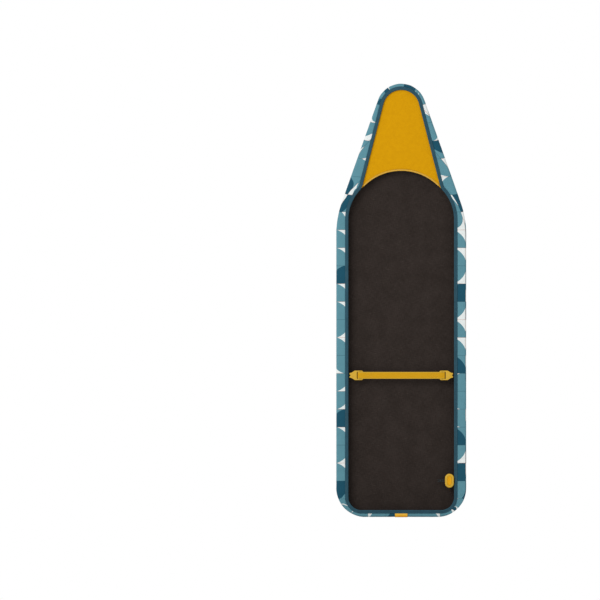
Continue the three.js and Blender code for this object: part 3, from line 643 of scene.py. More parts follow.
def letClothSettle(piece, setup):
    # a mass-spring cloth, solved here step by step so that each run ends in the same shape: the side and the skirt
    # have a little more cloth than room, and swell softly between the gathers
    hemLine = kdtree.KDTree(loopCount)
    for number, point in enumerate(loopPoints(hemCorners, 0)):
        hemLine.insert((point.x, point.y, 0), number)
    hemLine.balance()
    mesh = piece.data
    count = len(mesh.vertices)
    free = np.array([[1 - heldShare(vert.co, hemLine, setup)] for vert in mesh.vertices])
    laid = np.array([vert.co[:] for vert in mesh.vertices])
    threads = np.array([edge.vertices[:] for edge in mesh.edges])
    quads = np.array([face.vertices[:] for face in mesh.polygons if len(face.vertices) == 4])
    springs = np.concatenate((threads, quads[:, [0, 2]], quads[:, [1, 3]]))
    strength = np.where(np.arange(len(springs)) < len(threads), 1.0, setup["diagonalShare"])[:, None]
    one, other = springs.T

    def summed(values, sign):
        # what the springs bring to each point, with a sign for the far end
        columns = [np.bincount(one, column, count) + sign * np.bincount(other, column, count)
                   for column in values.T]
        return np.stack(columns, axis=1)

    joined = summed(strength, 1)
    length = np.linalg.norm(laid[other] - laid[one], axis=1, keepdims=True)
    wanted = length * (1 + setup["spare"])
    move, speed = np.zeros_like(laid), np.zeros_like(laid)
    for _ in range(setup["steps"]):
        gap = laid[other] + move[other] - laid[one] - move[one]
        now = np.linalg.norm(gap, axis=1, keepdims=True)
        push = summed(gap * (0.5 * strength * (now - wanted) / now), -1) / joined
        bend = summed((move[other] - move[one]) * strength, -1) / joined
        speed = (speed + push + setup["evenness"] * bend) * setup["swing"] * free
        move += speed
        far = np.linalg.norm(move, axis=1, keepdims=True)
        move *= np.minimum(1, setup["furthest"] / np.maximum(far, 1e-9))
    for vert, place in zip(mesh.vertices, laid + move):
        vert.co = place
    print(f"cover cloth settled by up to {np.linalg.norm(move, axis=1).max() * 1000:.2f} mm")


def sewCover(setup):
    bm, layer = startPlaced("printPlace")
    face = loopPoints(boardCorners, -setup["edgeRound"])
    outward = [(a - b).normalized() for a, b in zip(loopPoints(boardCorners, 0.001), boardLoop)]
    pulled = [Vector((n.x ** 3, n.y ** 3)).normalized() for n in outward]     # the grain stays level on the skirt
    faceLevel, edge, rim = setup["faceLevel"], setup["edgeRound"], setup["rimRound"]
    sideTop, sideLow = faceLevel - edge, setup["skirtFront"] + rim
    rows = []                                             # outset, depth, way out over the cloth
    for k in range(setup["edgeRows"] + 1):
        angle = pi / 2 * k / setup["edgeRows"]
        rows.append((edge * (sin(angle) - 1), faceLevel - edge * (1 - cos(angle)), edge * angle))
    for k in range(1, setup["sideRows"] + 1):
        down = (sideTop - sideLow) * k / setup["sideRows"]
        rows.append((0, sideTop - down, edge * pi / 2 + down))
    for k in range(1, setup["rimRows"] + 1):
        angle = pi / 2 * k / setup["rimRows"]
        rows.append((rim * (cos(angle) - 1), sideLow - rim * sin(angle),
                     edge * pi / 2 + sideTop - sideLow + rim * angle))
    laid, flatPlaces = [], []
    for outset, depth, out in rows:
        points = [Vector((p.x, depth, p.y)) for p in loopPoints(boardCorners, outset)]
        if depth < setup["giveTop"]:
            for i, p in enumerate(points):
                wave = sin(2 * pi * hemAlong[i] / setup["givePitch"] + 1.3)
                share = sin(pi * min(1, (setup["giveTop"] - depth) / setup["giveDepth"]))
                inwards = setup["give"] * share * (0.25 + 0.75 * gatherShare[i]) * (1 + wave)
                p.x -= outward[i].x * inwards
                p.z -= outward[i].y * inwards
        laid.append(points)
        flatPlaces.append([f + way * out for f, way in zip(face, pulled)])
    rimLoop = loopPoints(boardCorners, -rim)
    hemEdge = loopPoints(hemCorners, setup["hemEdge"])
    outAtRim = rows[-1][2]
    for k in range(1, setup["skirtRows"] + 1):
        share = k / setup["skirtRows"]
        points, places = [], []
        for i in range(loopCount):
            flat = rimLoop[i].lerp(hemEdge[i], share)
            span = (hemEdge[i] - rimLoop[i]).length
            fromHem = span * (1 - share) + setup["hemEdge"]
            bare = fromHem - setup["bindingWidth"] - setup["pastBinding"]
            free = max(0.0, min(1.0, bare / setup["puckerFade"]))
            stray = noise.noise((flat.x * setup["wanderScale"], flat.y * setup["wanderScale"], 3.0))
            fold = sin(pi * hemAlong[i] / setup["puckerPitch"] + setup["wander"] * stray)
            lift = setup["pucker"] * free * sin(pi * min(1, share * 1.25)) * fold ** 2
            lift *= 0.2 + 0.8 * gatherShare[i]
            points.append(Vector((flat.x, setup["skirtFront"] - lift, flat.y)))
            inwards = flat - rimLoop[i]
            mirrored = inwards - 2 * inwards.dot(pulled[i]) * pulled[i]
            places.append(face[i] + pulled[i] * outAtRim + mirrored)
        laid.append(points)
        flatPlaces.append(places)
    cutOutline = [f + n * (outAtRim + (h - r).length)
                  for f, n, h, r in zip(face, outward, hemEdge, rimLoop)]
    fillAcross(bm, layRows(bm, laid, layer, flatPlaces)[0][0])
    for vert in bm.verts:
        if vert.co.y > faceLevel - 1e-6:
            place = (vert.co.x * setup["softScale"], vert.co.z * setup["softScale"], 7.0)
            vert.co.y += setup["softness"] * noise.noise(place)
    turnOutwards(bm)
    piece = finishPiece("coverCloth", bm, [printed, reverse], "cover", ["cover_cloth"])
    letClothSettle(piece, coverSettling)
    giveThickness(piece, setup["thickness"], -1, 1)
    return piece, cutSize(cutOutline), areaInside(cutOutline)


coverCloth, coverFlat, coverArea = sewCover(clothCover)
print(f"cover cloth: cut {coverFlat[0]:.3f} x {coverFlat[1]:.3f} m, {coverArea:.4f} m2")


# the pad: foam under the cloth, felt against the board

padShape = {
    "feltLow": 0.0, "feltThickness": 0.0025, "foamTop": 0.0075, "sideClearance": 0.001, "edgeRound": 0.007,
    "edgeRows": 5, "layerGap": 0.0002, "underCloth": 0.0003, "feltSlack": 0.0003,
    "foamSoftness": 0.0002, "foamScale": 18,              # how unevenly the foam lies, and how often that changes
    "feltSoftness": 0.00022, "feltScale": 11, "feltLift": 0.3,
}


def layFoam(setup):
    bm = bmesh.new()
    centre = clothCover["faceLevel"] - clothCover["edgeRound"]
    lowest = acos((setup["feltThickness"] + setup["layerGap"] - centre) / setup["edgeRound"])
    rows = []
    for k in range(setup["edgeRows"] + 1):
        angle = lowest * k / setup["edgeRows"]
        outset = setup["edgeRound"] * sin(angle) - clothCover["edgeRound"] - setup["sideClearance"]
        depth = centre + setup["edgeRound"] * cos(angle) - setup["underCloth"]
        rows.append([Vector((p.x, depth, p.y)) for p in loopPoints(boardCorners, outset)])
    top, bottom = layRows(bm, rows)
    fillAcross(bm, top[0], bottom[0])
    for vert in bm.verts:
        if vert.co.y > setup["foamTop"] - 2 * setup["underCloth"]:
            place = (vert.co.x * setup["foamScale"], vert.co.z * setup["foamScale"], 2.0)
            vert.co.y += setup["foamSoftness"] * noise.noise(place)
    turnOutwards(bm)
    return finishPiece("foamPad", bm, [foam], "cover", ["foam_pad"])


def layFelt(setup):
    bm = bmesh.new()
    outline = loopPoints(boardCorners, -clothCover["thickness"] - setup["sideClearance"] - setup["layerGap"])
    fillAcross(bm, chainOf(bm, [Vector((p.x, setup["feltLow"], p.y)) for p in outline])[0])
    for vert in bm.verts:
        place = (vert.co.x * setup["feltScale"], vert.co.z * setup["feltScale"], 5.0)
        vert.co.y += setup["feltSoftness"] * (noise.noise(place) + setup["feltLift"])
    turnOutwards(bm)
    if sum(f.normal.y for f in bm.faces) > 0:
        bmesh.ops.reverse_faces(bm, faces=bm.faces[:])
    piece = finishPiece("feltBacking", bm, [felt], "cover", ["felt_backing"])
    giveThickness(piece, setup["feltThickness"] - setup["feltSlack"], -1)
    return piece, cutSize(outline), areaInside(outline)


foamPad = layFoam(padShape)
feltBacking, feltFlat, feltArea = layFelt(padShape)
print(f"pad: foam, and felt cut {feltFlat[0]:.3f} x {feltFlat[1]:.3f} m")


# binding tape folded round the draw cord, with its row of stitches and the slit for the cord

hemDepth = -0.024
lockHeight = endHeight + 0.106
hemTape = {
    "width": 0.010, "thickness": 0.0008, "foldRadius": 0.0022, "foldCentre": 0.0026, "leafDepth": 0.0012,
    "leafRows": [(0.0082, 0.0012), (0.0066, 0.0012), (0.0052, 0.0014), (0.0039, 0.0018)],   # outset, depth
    "foldSteps": 10, "ruching": 0.00045, "ruchPitch": 0.0068, "ruchWander": 1.7, "wanderScale": 30,
    "slitReach": 0.0080, "slitInner": 0.0029,
    "stitchLine": 0.0082, "stitchPitch": 0.0036, "stitchLength": 0.0027, "threadRadius": 0.00028,
    "stitchRise": 0.33,                                   # a stitch follows this much of the tape's bulge
    "tacks": 7, "tackStart": 0.0012, "tackPitch": 0.0009, "tackLength": 0.0024, "tackPast": 0.0008,
    "tackRise": 0.0004, "tackSink": 0.0006, "tacksRaised": 5,   # the last ones lie on the lower leaf
}


def tapeRuch(i, setup):
    # how far the tape bulges out between the gathers, at one point of the loop
    stray = noise.noise((hemLoop[i].x * setup["wanderScale"], hemLoop[i].y * setup["wanderScale"], 1.0))
    wave = sin(pi * hemAlong[i] / setup["ruchPitch"] + setup["ruchWander"] * stray)
    return setup["ruching"] * wave ** 2 * (0.35 + 0.65 * gatherShare[i])


def foldTape(setup):
    bm, layer = startPlaced("clothPlace")
    centre, fold = setup["foldCentre"], setup["foldRadius"]
    front = [(setup["width"], -setup["leafDepth"])] + [(u, -v) for u, v in setup["leafRows"]]
    bend = [(centre + fold * cos(a), fold * sin(a))
            for a in [-pi / 2 - pi * k / setup["foldSteps"] for k in range(setup["foldSteps"] + 1)]]
    back = [(u, -v) for u, v in reversed(front)]
    section = front + bend + back
    rows, rowPlaces = [], []
    for k, ((u, v), across) in enumerate(zip(section, distancesAlong(section))):
        loop = loopPoints(hemCorners, u)
        bulge = max(0.0, -v / fold) * (0.6 if k < 2 else 1.0)       # only the side that shows
        points = [Vector((p.x, hemDepth + v - bulge * tapeRuch(i, setup), p.y)) for i, p in enumerate(loop)]
        rows.append(points)
        rowPlaces.append([(s, across) for s in hemAlong])
    layRows(bm, rows, layer, rowPlaces)
    # the slit that both strands of the cord come out of
    for edge in (lockHeight - setup["slitReach"], lockHeight + setup["slitReach"]):
        near = [f for f in bm.faces if f.calc_center_median().x > 0.1
                and abs(f.calc_center_median().z - edge) < 0.02]
        geom = list({v for f in near for v in f.verts}) + list({e for f in near for e in f.edges}) + near
        bmesh.ops.bisect_plane(bm, geom=geom, dist=1e-6, plane_co=(0, 0, edge), plane_no=(0, 0, 1))
    opened = [f for f in bm.faces if 0.1 < f.calc_center_median().x < hemSide + setup["slitInner"]
              and abs(f.calc_center_median().z - lockHeight) < setup["slitReach"]]
    bmesh.ops.delete(bm, geom=opened, context="FACES")
    turnOutwards(bm)
    piece = finishPiece("hemBinding", bm, [biasTape], "cover", ["hem_binding"])
    giveThickness(piece, setup["thickness"], 0)
    return piece


hemBinding = foldTape(hemTape)


def sewnThread(name, colours):
    # spun polyester thread: fine, slightly glossy, with the twist as short dark bands
    material, tree = startMaterial(name)
    place = addNode(tree, "ShaderNodeTexCoord")
    twist = addNode(tree, "ShaderNodeTexWave", {"Vector": place.outputs["Object"], "Scale": waveUnit / 0.0006},
                    bands_direction="DIAGONAL")
    colour = addNode(tree, "ShaderNodeMix", {0: twist.outputs["Fac"], 6: linearColour(colours[0]),
                                             7: linearColour(colours[1])}, data_type="RGBA")
    rough = addNode(tree, "ShaderNodeMapRange", {"Value": twist.outputs["Fac"], 3: 0.62, 4: 0.5})
    skin = addNode(tree, "ShaderNodeBsdfPrincipled",
                   {"Base Color": colour.outputs[2], "Roughness": rough.outputs[0], "Specular IOR Level": 0.3})
    addNode(tree, "ShaderNodeOutputMaterial", {"Surface": skin.outputs[0]})
    return material


tealThread = sewnThread("tealThread", ("#1f4152", "#3d6a7e"))
goldThread = sewnThread("goldThread", ("#a97a12", "#d9ac3c"))


def sewHem(setup):
    bm = bmesh.new()
    line = loopPoints(hemCorners, setup["stitchLine"])
    along = distancesAlong(line)
    total = along[-1]
    at, index = setup["stitchPitch"], 0
    while at < total:
        while along[index + 1] < at:
            index += 1
        share = (at - along[index]) / (along[index + 1] - along[index])
        spot = line[index].lerp(line[index + 1], share)
        way = (line[index + 1] - line[index]).normalized()
        bulge = setup["stitchRise"] * tapeRuch(index, setup)
        depth = hemDepth - setup["leafDepth"] - setup["thickness"] / 2 - bulge
        sewStitch(bm, Vector((spot.x, depth, spot.y)), Vector((way.x, 0, way.y)), Vector((0, -1, 0)),
                  setup["stitchLength"], setup["threadRadius"])
        at += setup["stitchPitch"]
    # close stitches that hold the slit's two ends
    for end in (-1, 1):
        for k in range(setup["tacks"]):
            sink = setup["tackSink"] if k >= setup["tacksRaised"] else 0
            spot = Vector((hemSide + setup["tackStart"] + setup["tackPitch"] * k,
                           hemDepth - setup["foldRadius"] - setup["tackRise"] + sink,
                           lockHeight + end * (setup["slitReach"] + setup["tackPast"])))
            sewStitch(bm, spot, Vector((0, 0, 1)), Vector((0, -1, 0)), setup["tackLength"], setup["threadRadius"])
    return finishPiece("hemStitches", bm, [tealThread], "cover")


hemStitches = sewHem(hemTape)
print(f"hem: binding {hemLength:.3f} m round, stitched")


# elastic draw cord, its knot, and the two loops for the hooks

def braidedElastic():
    # rubber core in a braided polyester sleeve: close diagonal plaits, a dull sheen
    material, tree = startMaterial("braidedElastic")
    place = addNode(tree, "ShaderNodeAttribute", attribute_name="cordPlace")
    turnA = addNode(tree, "ShaderNodeMapping", {"Vector": place.outputs["Vector"], "Rotation": (0, 0, 0.8)})
    turnB = addNode(tree, "ShaderNodeMapping", {"Vector": place.outputs["Vector"], "Rotation": (0, 0, -0.8)})
    plaitA = addNode(tree, "ShaderNodeTexWave", {"Vector": turnA.outputs[0], "Scale": waveUnit / 0.0011})
    plaitB = addNode(tree, "ShaderNodeTexWave", {"Vector": turnB.outputs[0], "Scale": waveUnit / 0.0011})
    plaits = addNode(tree, "ShaderNodeMath", {0: plaitA.outputs["Fac"], 1: plaitB.outputs["Fac"]},
                     operation="MULTIPLY")
    colour = addNode(tree, "ShaderNodeMix", {0: plaits.outputs[0], 6: linearColour("#1d2021"),
                                             7: linearColour("#363b3c")}, data_type="RGBA")
    relief = addNode(tree, "ShaderNodeBump", {"Height": plaits.outputs[0], "Strength": 0.5, "Distance": 0.0003})
    rough = addNode(tree, "ShaderNodeMapRange", {"Value": plaits.outputs[0], 3: 0.8, 4: 0.62})
    skin = addNode(tree, "ShaderNodeBsdfPrincipled",
                   {"Base Color": colour.outputs[2], "Roughness": rough.outputs[0], "Normal": relief.outputs[0],
                    "Specular IOR Level": 0.25})
    addNode(tree, "ShaderNodeOutputMaterial", {"Surface": skin.outputs[0]})
    return material


elastic = braidedElastic()
drawCordShape = {
    "radius": 0.0015, "outset": 0.0026, "strandPitch": 0.0044, "bend": 0.004, "bendSteps": 10, "sides": 12,
    "straightStep": 6,                                    # one ring in six where the cord runs straight
    "bentFrom": 0.002, "slitSlack": 0.001, "strandSteps": 12, "intoKnot": 0.002,
    "knotX": 0.1150, "knotLength": 0.0080, "knotCoil": 0.0029, "knotTurns": 2.6, "knotSteps": 64,
    "tail": 0.0052, "tailSteps": 11, "tailGirth": 0.96, "tailApart": 0.0014, "tailSpread": 0.0022,
    "tailCross": 0.0004, "tailDrop": 0.0006, "tailInKnot": 0.001,
}


def turnAt(points, i):
    before, here, after = points[max(i - 1, 0)], points[i], points[min(i + 1, len(points) - 1)]
    into, out = here - before, after - here
    return abs(atan2(into.x * out.y - into.y * out.x, into.dot(out)))


def runDrawCord(setup):
    bm, layer = startPlaced("cordPlace")
    loop = loopPoints(hemCorners, setup["outset"])
    start = loopDetail["corner"] + 1                      # the side's straight run, above the lock
    upper, lower = lockHeight + setup["strandPitch"] / 2, lockHeight - setup["strandPitch"] / 2
    while loop[start].y < upper + setup["bend"] + setup["slitSlack"]:
        start += 1
    stop = start
    while loop[stop].y > lower - setup["bend"] - setup["slitSlack"]:
        stop -= 1
    bendX = hemSide + setup["outset"] - setup["bend"]
    arc = [pi / 2 * k / setup["bendSteps"] for k in range(setup["bendSteps"] + 1)]
    inKnot = setup["knotX"] + setup["knotLength"] / 2 - setup["intoKnot"]
    strands = [inKnot + (bendX - inKnot) * k / setup["strandSteps"] for k in range(setup["strandSteps"])]
    path = [(x, upper) for x in strands]
    path += [(bendX + setup["bend"] * sin(a), upper + setup["bend"] * (1 - cos(a))) for a in arc]
    roundHem = loop[start:] + loop[:stop + 1]
    path += [(p.x, p.y) for i, p in enumerate(roundHem) if i % setup["straightStep"] == 0
             or turnAt(roundHem, i) > setup["bentFrom"]]
    path += [(bendX + setup["bend"] * sin(a), lower - setup["bend"] * (1 - cos(a))) for a in reversed(arc)]
    path += [(x, lower) for x in reversed(strands)]
    sweepTube(bm, [Vector((x, hemDepth, z)) for x, z in path], setup["radius"], setup["sides"], layer)
    turnOutwards(bm)
    return finishPiece("drawCord", bm, [elastic], "cover", ["draw_cord"])


def tieKnot(setup):
    # both ends wound once more round themselves, with two short cut tails
    bm, layer = startPlaced("cordPlace")
    coil = []
    for k in range(setup["knotSteps"] + 1):
        share = k / setup["knotSteps"]
        angle = 2 * pi * setup["knotTurns"] * share
        girth = setup["knotCoil"] * (0.45 + 0.55 * min(1, 6 * share, 6 * (1 - share)))
        x = setup["knotX"] + (0.5 - share) * (setup["knotLength"] - 2 * setup["radius"])
        coil.append(Vector((x, hemDepth + girth * sin(angle), lockHeight + girth * cos(angle))))
    sweepTube(bm, coil, setup["radius"], setup["sides"], layer)
    for side in (-1, 1):
        tail = []
        for k in range(setup["tailSteps"] + 1):
            share = k / setup["tailSteps"]
            x = setup["knotX"] + setup["tailInKnot"] - (setup["knotLength"] / 2 + setup["tail"]) * share
            apart = setup["tailApart"] + setup["tailSpread"] * share ** 2
            tail.append(Vector((x, hemDepth + setup["tailCross"] * side - setup["tailDrop"] * share ** 2,
                                lockHeight + side * apart)))
        sweepTube(bm, tail, setup["radius"] * setup["tailGirth"], setup["sides"], layer)
    turnOutwards(bm)
    return finishPiece("cordKnot", bm, [elastic], "cover", ["cord_knot"])


runDrawCord(drawCordShape)
tieKnot(drawCordShape)

strapHeight = endHeight + 0.415
hookLoopShape = {"radius": 0.0012, "halfWidth": 0.0044, "roundX": 0.1476, "seatX": 0.1598, "depth": -0.0199,
                 "sides": 12}


def bendHookLoop(name, side, node, setup):
    bm, layer = startPlaced("cordPlace")
    half, middle = setup["halfWidth"], setup["roundX"]
    legs = [setup["seatX"] + (middle - setup["seatX"]) * k / 6 for k in range(6)]
    bend = [pi / 2 + pi * k / 20 for k in range(21)]
    flat = [(x, half) for x in legs] + [(middle + half * cos(a), half * sin(a)) for a in bend]
    flat += [(x, -half) for x in reversed(legs)]
    path = [Vector((side * x, setup["depth"], strapHeight + z)) for x, z in flat]
    sweepTube(bm, path, setup["radius"], setup["sides"], layer)
    turnOutwards(bm)
    return finishPiece(name, bm, [elastic], "cover", [node])


bendHookLoop("hookLoopLeft", -1, "hook_loop_left", hookLoopShape)
bendHookLoop("hookLoopRight", 1, "hook_loop_right", hookLoopShape)
print("cords: draw cord, knot and hook loops")


# nose pocket, its pale mouth tape, and the tag over the square end

nosePocketShape = {
    "middle": -0.0206, "thickness": 0.0009, "lap": 0.006, "mouthSteps": 72, "cuts": 30,
    "wrinkle": 0.00030, "wrinkleFrom": 0.006, "wrinkleFade": 0.03,   # from the mouth, where the cloth is drawn
    "tapeWidth": 0.0036, "tapeThickness": 0.0008, "tapeSetback": 0.0086, "tapeLeaf": 0.0012,
    "tapeTurn": [(0.0024, 0.0012), (0.0004, 0.0012), (-0.0003, 0.00105), (-0.0007, 0.0006)],   # outset, depth
    "stitchIn": 0.0026, "stitchPitch": 0.0034, "stitchEnds": 0.002, "stitchLength": 0.0025, "threadRadius": 0.00026,
}


def sewPocket(setup):
    bm, layer = startPlaced("clothPlace")
    loop = loopPoints(hemCorners, setup["lap"])
    first = loopDetail["corner"] + loopDetail["side"] + loopDetail["shoulder"] + loopDetail["toKink"]
    last = ladderCount - 1 - first
    sides = loop[first:last + 1]
    count = len(sides)
    mouth = [Vector((hemSide * cos(a), archCentre + hemSide * sin(a)))
             for a in [archAngle + (pi - 2 * archAngle) * k / (count - 1) for k in range(count)]]
    mouthChain = chainOf(bm, [Vector((p.x, setup["middle"], p.y)) for p in mouth], layer, mouth, closed=False)
    sideChain = chainOf(bm, [Vector((p.x, setup["middle"], p.y)) for p in sides], layer, sides, closed=False)
    bmesh.ops.bridge_loops(bm, edges=mouthChain[1] + sideChain[1])
    onMouth = set(mouthChain[0])
    rungs = [e for e in bm.edges if (e.verts[0] in onMouth) != (e.verts[1] in onMouth)]
    bmesh.ops.subdivide_edges(bm, edges=rungs, cuts=setup["cuts"], use_grid_fill=True)
    fixed = onMouth | set(sideChain[0])
    for vert in bm.verts:
        if vert in fixed:
            continue
        fromMouth = hypot(vert.co.x, vert.co.z - archCentre) - hemSide
        middle = max(0.0, 1 - (abs(vert.co.x) / (0.12 * max(0.3, 1 - (vert.co.z - 0.33) / 0.30))) ** 2)
        free = max(0.0, min(1.0, (fromMouth - setup["wrinkleFrom"]) / setup["wrinkleFade"])) * middle
        draw = noise.noise((vert.co.x * 30, vert.co.z * 7, 4.0))
        vert.co.y -= setup["wrinkle"] * free * (1 + 1.2 * draw)
    turnOutwards(bm)
    piece = finishPiece("nosePocket", bm, [pocketDrill], "cover", ["nose_pocket"])
    giveThickness(piece, setup["thickness"], 0)
    outline = sides + mouth[::-1]
    return piece, cutSize(outline), areaInside(outline)


def bindMouth(setup):
    # the tape's folded section is spun about the arch's centre
    bm, layer = startPlaced("clothPlace")
    half = [(setup["tapeWidth"], setup["tapeLeaf"])] + setup["tapeTurn"]
    section = [(u, -v) for u, v in half] + half[::-1]
    start = archAngle + setup["tapeSetback"] / hemSide
    turn = pi - 2 * start
    places = [(0.0, across) for across in distancesAlong(section)]
    points = [Vector(((hemSide + u) * cos(start), setup["middle"] + v, archCentre + (hemSide + u) * sin(start)))
              for u, v in section]
    verts, edges = chainOf(bm, points, layer, places, closed=False)
    bmesh.ops.spin(bm, geom=verts + edges, cent=(0, 0, archCentre), axis=(0, -1, 0), dvec=(0, 0, 0),
                   angle=turn, steps=setup["mouthSteps"], use_merge=False, use_duplicate=False)
    for vert in bm.verts:
        angle = atan2(vert.co.z - archCentre, vert.co.x)
        vert[layer] = Vector((angle * hemSide, vert[layer].y, 0))
    turnOutwards(bm)
    piece = finishPiece("mouthTape", bm, [paleTape], "cover", ["pocket_mouth_tape"])
    giveThickness(piece, setup["tapeThickness"], 0)
    return piece


def sewMouth(setup):
    bm = bmesh.new()
    radius = hemSide + setup["stitchIn"]
    start = archAngle + (setup["tapeSetback"] + setup["stitchEnds"]) / hemSide
    count = int((pi - 2 * start) * radius / setup["stitchPitch"])
    for k in range(count + 1):
        angle = start + (pi - 2 * start) * k / count
        spot = Vector((radius * cos(angle), setup["middle"] - setup["tapeLeaf"] - setup["tapeThickness"] / 2,
                       archCentre + radius * sin(angle)))
        sewStitch(bm, spot, Vector((-sin(angle), 0, cos(angle))), Vector((0, -1, 0)), setup["stitchLength"],
                  setup["threadRadius"])
    return finishPiece("mouthStitches", bm, [goldThread], "cover")


nosePocket, pocketFlat, pocketArea = sewPocket(nosePocketShape)
mouthTape = bindMouth(nosePocketShape)
mouthStitches = sewMouth(nosePocketShape)
print(f"nose pocket: cut {pocketFlat[0]:.3f} x {pocketFlat[1]:.3f} m, mouth taped")


def satinRibbon():
    # polyester satin ribbon: floats run lengthwise, so it is smoother and brighter than the cloths round it
    material, tree = startMaterial("satinRibbon")
    place = addNode(tree, "ShaderNodeAttribute", attribute_name="clothPlace")
    parts = addNode(tree, "ShaderNodeSeparateXYZ", {0: place.outputs["Vector"]})
    upperEnd = addNode(tree, "ShaderNodeMapRange", {"Value": parts.outputs[0], 1: 0.0115, 2: 0.0165, 3: 1.0, 4: 0.0})
    lowerEnd = addNode(tree, "ShaderNodeMapRange", {"Value": parts.outputs[0], 1: 0.080, 2: 0.088, 3: 0.0, 4: 0.7})
    pale = addNode(tree, "ShaderNodeMath", {0: upperEnd.outputs[0], 1: lowerEnd.outputs[0]}, operation="MAXIMUM")
    floats = addNode(tree, "ShaderNodeTexWave", {"Vector": place.outputs["Vector"], "Scale": waveUnit / 0.0008},
                     bands_direction="Y")
    cloud = addNode(tree, "ShaderNodeTexNoise", {"Vector": place.outputs["Vector"], "Scale": 120.0, "Detail": 4.0})
    body = addNode(tree, "ShaderNodeMix", {0: cloud.outputs[0], 6: linearColour("#dd9f04"),
                                           7: linearColour("#ebb008")}, data_type="RGBA")
    colour = addNode(tree, "ShaderNodeMix", {0: pale.outputs[0], 6: body.outputs[2], 7: linearColour("#e6c05a")},
                     data_type="RGBA")
    relief = addNode(tree, "ShaderNodeBump", {"Height": floats.outputs["Fac"], "Strength": 0.15,
                                              "Distance": 0.0002})
    rough = addNode(tree, "ShaderNodeMapRange", {"Value": cloud.outputs[0], 3: 0.5, 4: 0.62})
    skin = addNode(tree, "ShaderNodeBsdfPrincipled",
                   {"Base Color": colour.outputs[2], "Roughness": rough.outputs[0], "Normal": relief.outputs[0],
                    "Specular IOR Level": 0.2, "Sheen Weight": 0.05})
    addNode(tree, "ShaderNodeOutputMaterial", {"Surface": skin.outputs[0]})
    return material


ribbon = satinRibbon()
tagShape = {"width": 0.037, "onFace": 0.048, "onSkirt": 0.0098, "thickness": 0.0006, "off": 0.0005,
            "steps": 8, "across": 12, "faceSteps": 6,
            "stitches": 13, "stitchSide": 0.002, "stitchIn": 0.0018, "stitchLength": 0.0022, "threadRadius": 0.00025}


def foldTag(setup):
    bm, layer = startPlaced("clothPlace")
    off = setup["off"] + setup["thickness"] / 2
    edge, rim = clothCover["edgeRound"], clothCover["rimRound"]
    face, skirt = clothCover["faceLevel"], clothCover["skirtFront"]
    quarters = [pi / 2 * k / setup["steps"] for k in range(setup["steps"] + 1)]
    path = [(endHeight + setup["onFace"] - (setup["onFace"] - edge) * k / setup["faceSteps"], face + off)
            for k in range(setup["faceSteps"])]
    path += [(endHeight + edge - (edge + off) * sin(a), face - edge + (edge + off) * cos(a)) for a in quarters]
    path += [(endHeight + rim - (rim + off) * cos(a), skirt + rim - (rim + off) * sin(a)) for a in quarters]
    path += [(endHeight + setup["onSkirt"], skirt - off)]
    xs = [setup["width"] * (j / setup["across"] - 0.5) for j in range(setup["across"] + 1)]
    rows = [[Vector((x, y, z)) for x in xs] for z, y in path]
    places = [[(along, x) for x in xs] for along in distancesAlong(path)]
    layRows(bm, rows, layer, places, closed=False)
    turnOutwards(bm)
    piece = finishPiece("endTag", bm, [ribbon], "cover", ["end_tag"])
    giveThickness(piece, setup["thickness"], 0)
    return piece


def sewTag(setup):
    bm = bmesh.new()
    level = clothCover["faceLevel"] + setup["off"] + setup["thickness"]
    height = endHeight + setup["onFace"] - setup["stitchIn"]
    for k in range(setup["stitches"]):
        x = (setup["width"] - 2 * setup["stitchSide"]) * (k / (setup["stitches"] - 1) - 0.5)
        sewStitch(bm, Vector((x, level, height)), Vector((1, 0, 0)), Vector((0, 1, 0)), setup["stitchLength"],
                  setup["threadRadius"])
    return finishPiece("tagStitches", bm, [goldThread], "cover")


endTag = foldTag(tagShape)
tagStitches = sewTag(tagShape)
print("tag folded over the square end")


# woven strap with a sewn loop at each end

def wovenWebbing():
    # polypropylene webbing: flat yarns in a herringbone, paler at the selvedges as a painted highlight where light
    # catches their round edges
    material, tree = startMaterial("wovenWebbing")
    place = addNode(tree, "ShaderNodeAttribute", attribute_name="clothPlace")
    parts = addNode(tree, "ShaderNodeSeparateXYZ", {0: place.outputs["Vector"]})
    fromMiddle = addNode(tree, "ShaderNodeMath", {0: parts.outputs[1]}, operation="ABSOLUTE")
    # painted highlight: this mask lightens a band along each rounded selvedge, where light catches the edge
    selvedge = addNode(tree, "ShaderNodeMapRange", {"Value": fromMiddle.outputs[0], 1: 0.0072, 2: 0.0092})
    slope = addNode(tree, "ShaderNodeMath", {0: parts.outputs[0], 1: fromMiddle.outputs[0]}, operation="ADD")
    vee = addNode(tree, "ShaderNodeCombineXYZ", {0: slope.outputs[0], 1: parts.outputs[1]})
    ribs = addNode(tree, "ShaderNodeTexWave", {"Vector": vee.outputs[0], "Scale": waveUnit / 0.0019})
    yarns = addNode(tree, "ShaderNodeTexWave", {"Vector": place.outputs["Vector"], "Scale": waveUnit / 0.0016},
                    bands_direction="Y")
    weave = addNode(tree, "ShaderNodeMath", {0: ribs.outputs["Fac"], 1: yarns.outputs["Fac"]}, operation="ADD")
    half = addNode(tree, "ShaderNodeMath", {0: weave.outputs[0], 1: 0.5}, operation="MULTIPLY")
    body = addNode(tree, "ShaderNodeMix", {0: half.outputs[0], 6: linearColour("#b88708"),
                                           7: linearColour("#d09c10")}, data_type="RGBA")
    # the pale painted-highlight colour mixed in over the selvedge bands
    colour = addNode(tree, "ShaderNodeMix", {0: selvedge.outputs[0], 6: body.outputs[2],
                                             7: linearColour("#c09c34")}, data_type="RGBA")
    relief = addNode(tree, "ShaderNodeBump", {"Height": half.outputs[0], "Strength": 0.5, "Distance": 0.0004})
    rough = addNode(tree, "ShaderNodeMapRange", {"Value": half.outputs[0], 3: 0.72, 4: 0.58})
    skin = addNode(tree, "ShaderNodeBsdfPrincipled",
                   {"Base Color": colour.outputs[2], "Roughness": rough.outputs[0], "Normal": relief.outputs[0],
                    "Specular IOR Level": 0.12})
    addNode(tree, "ShaderNodeOutputMaterial", {"Surface": skin.outputs[0]})
    return material


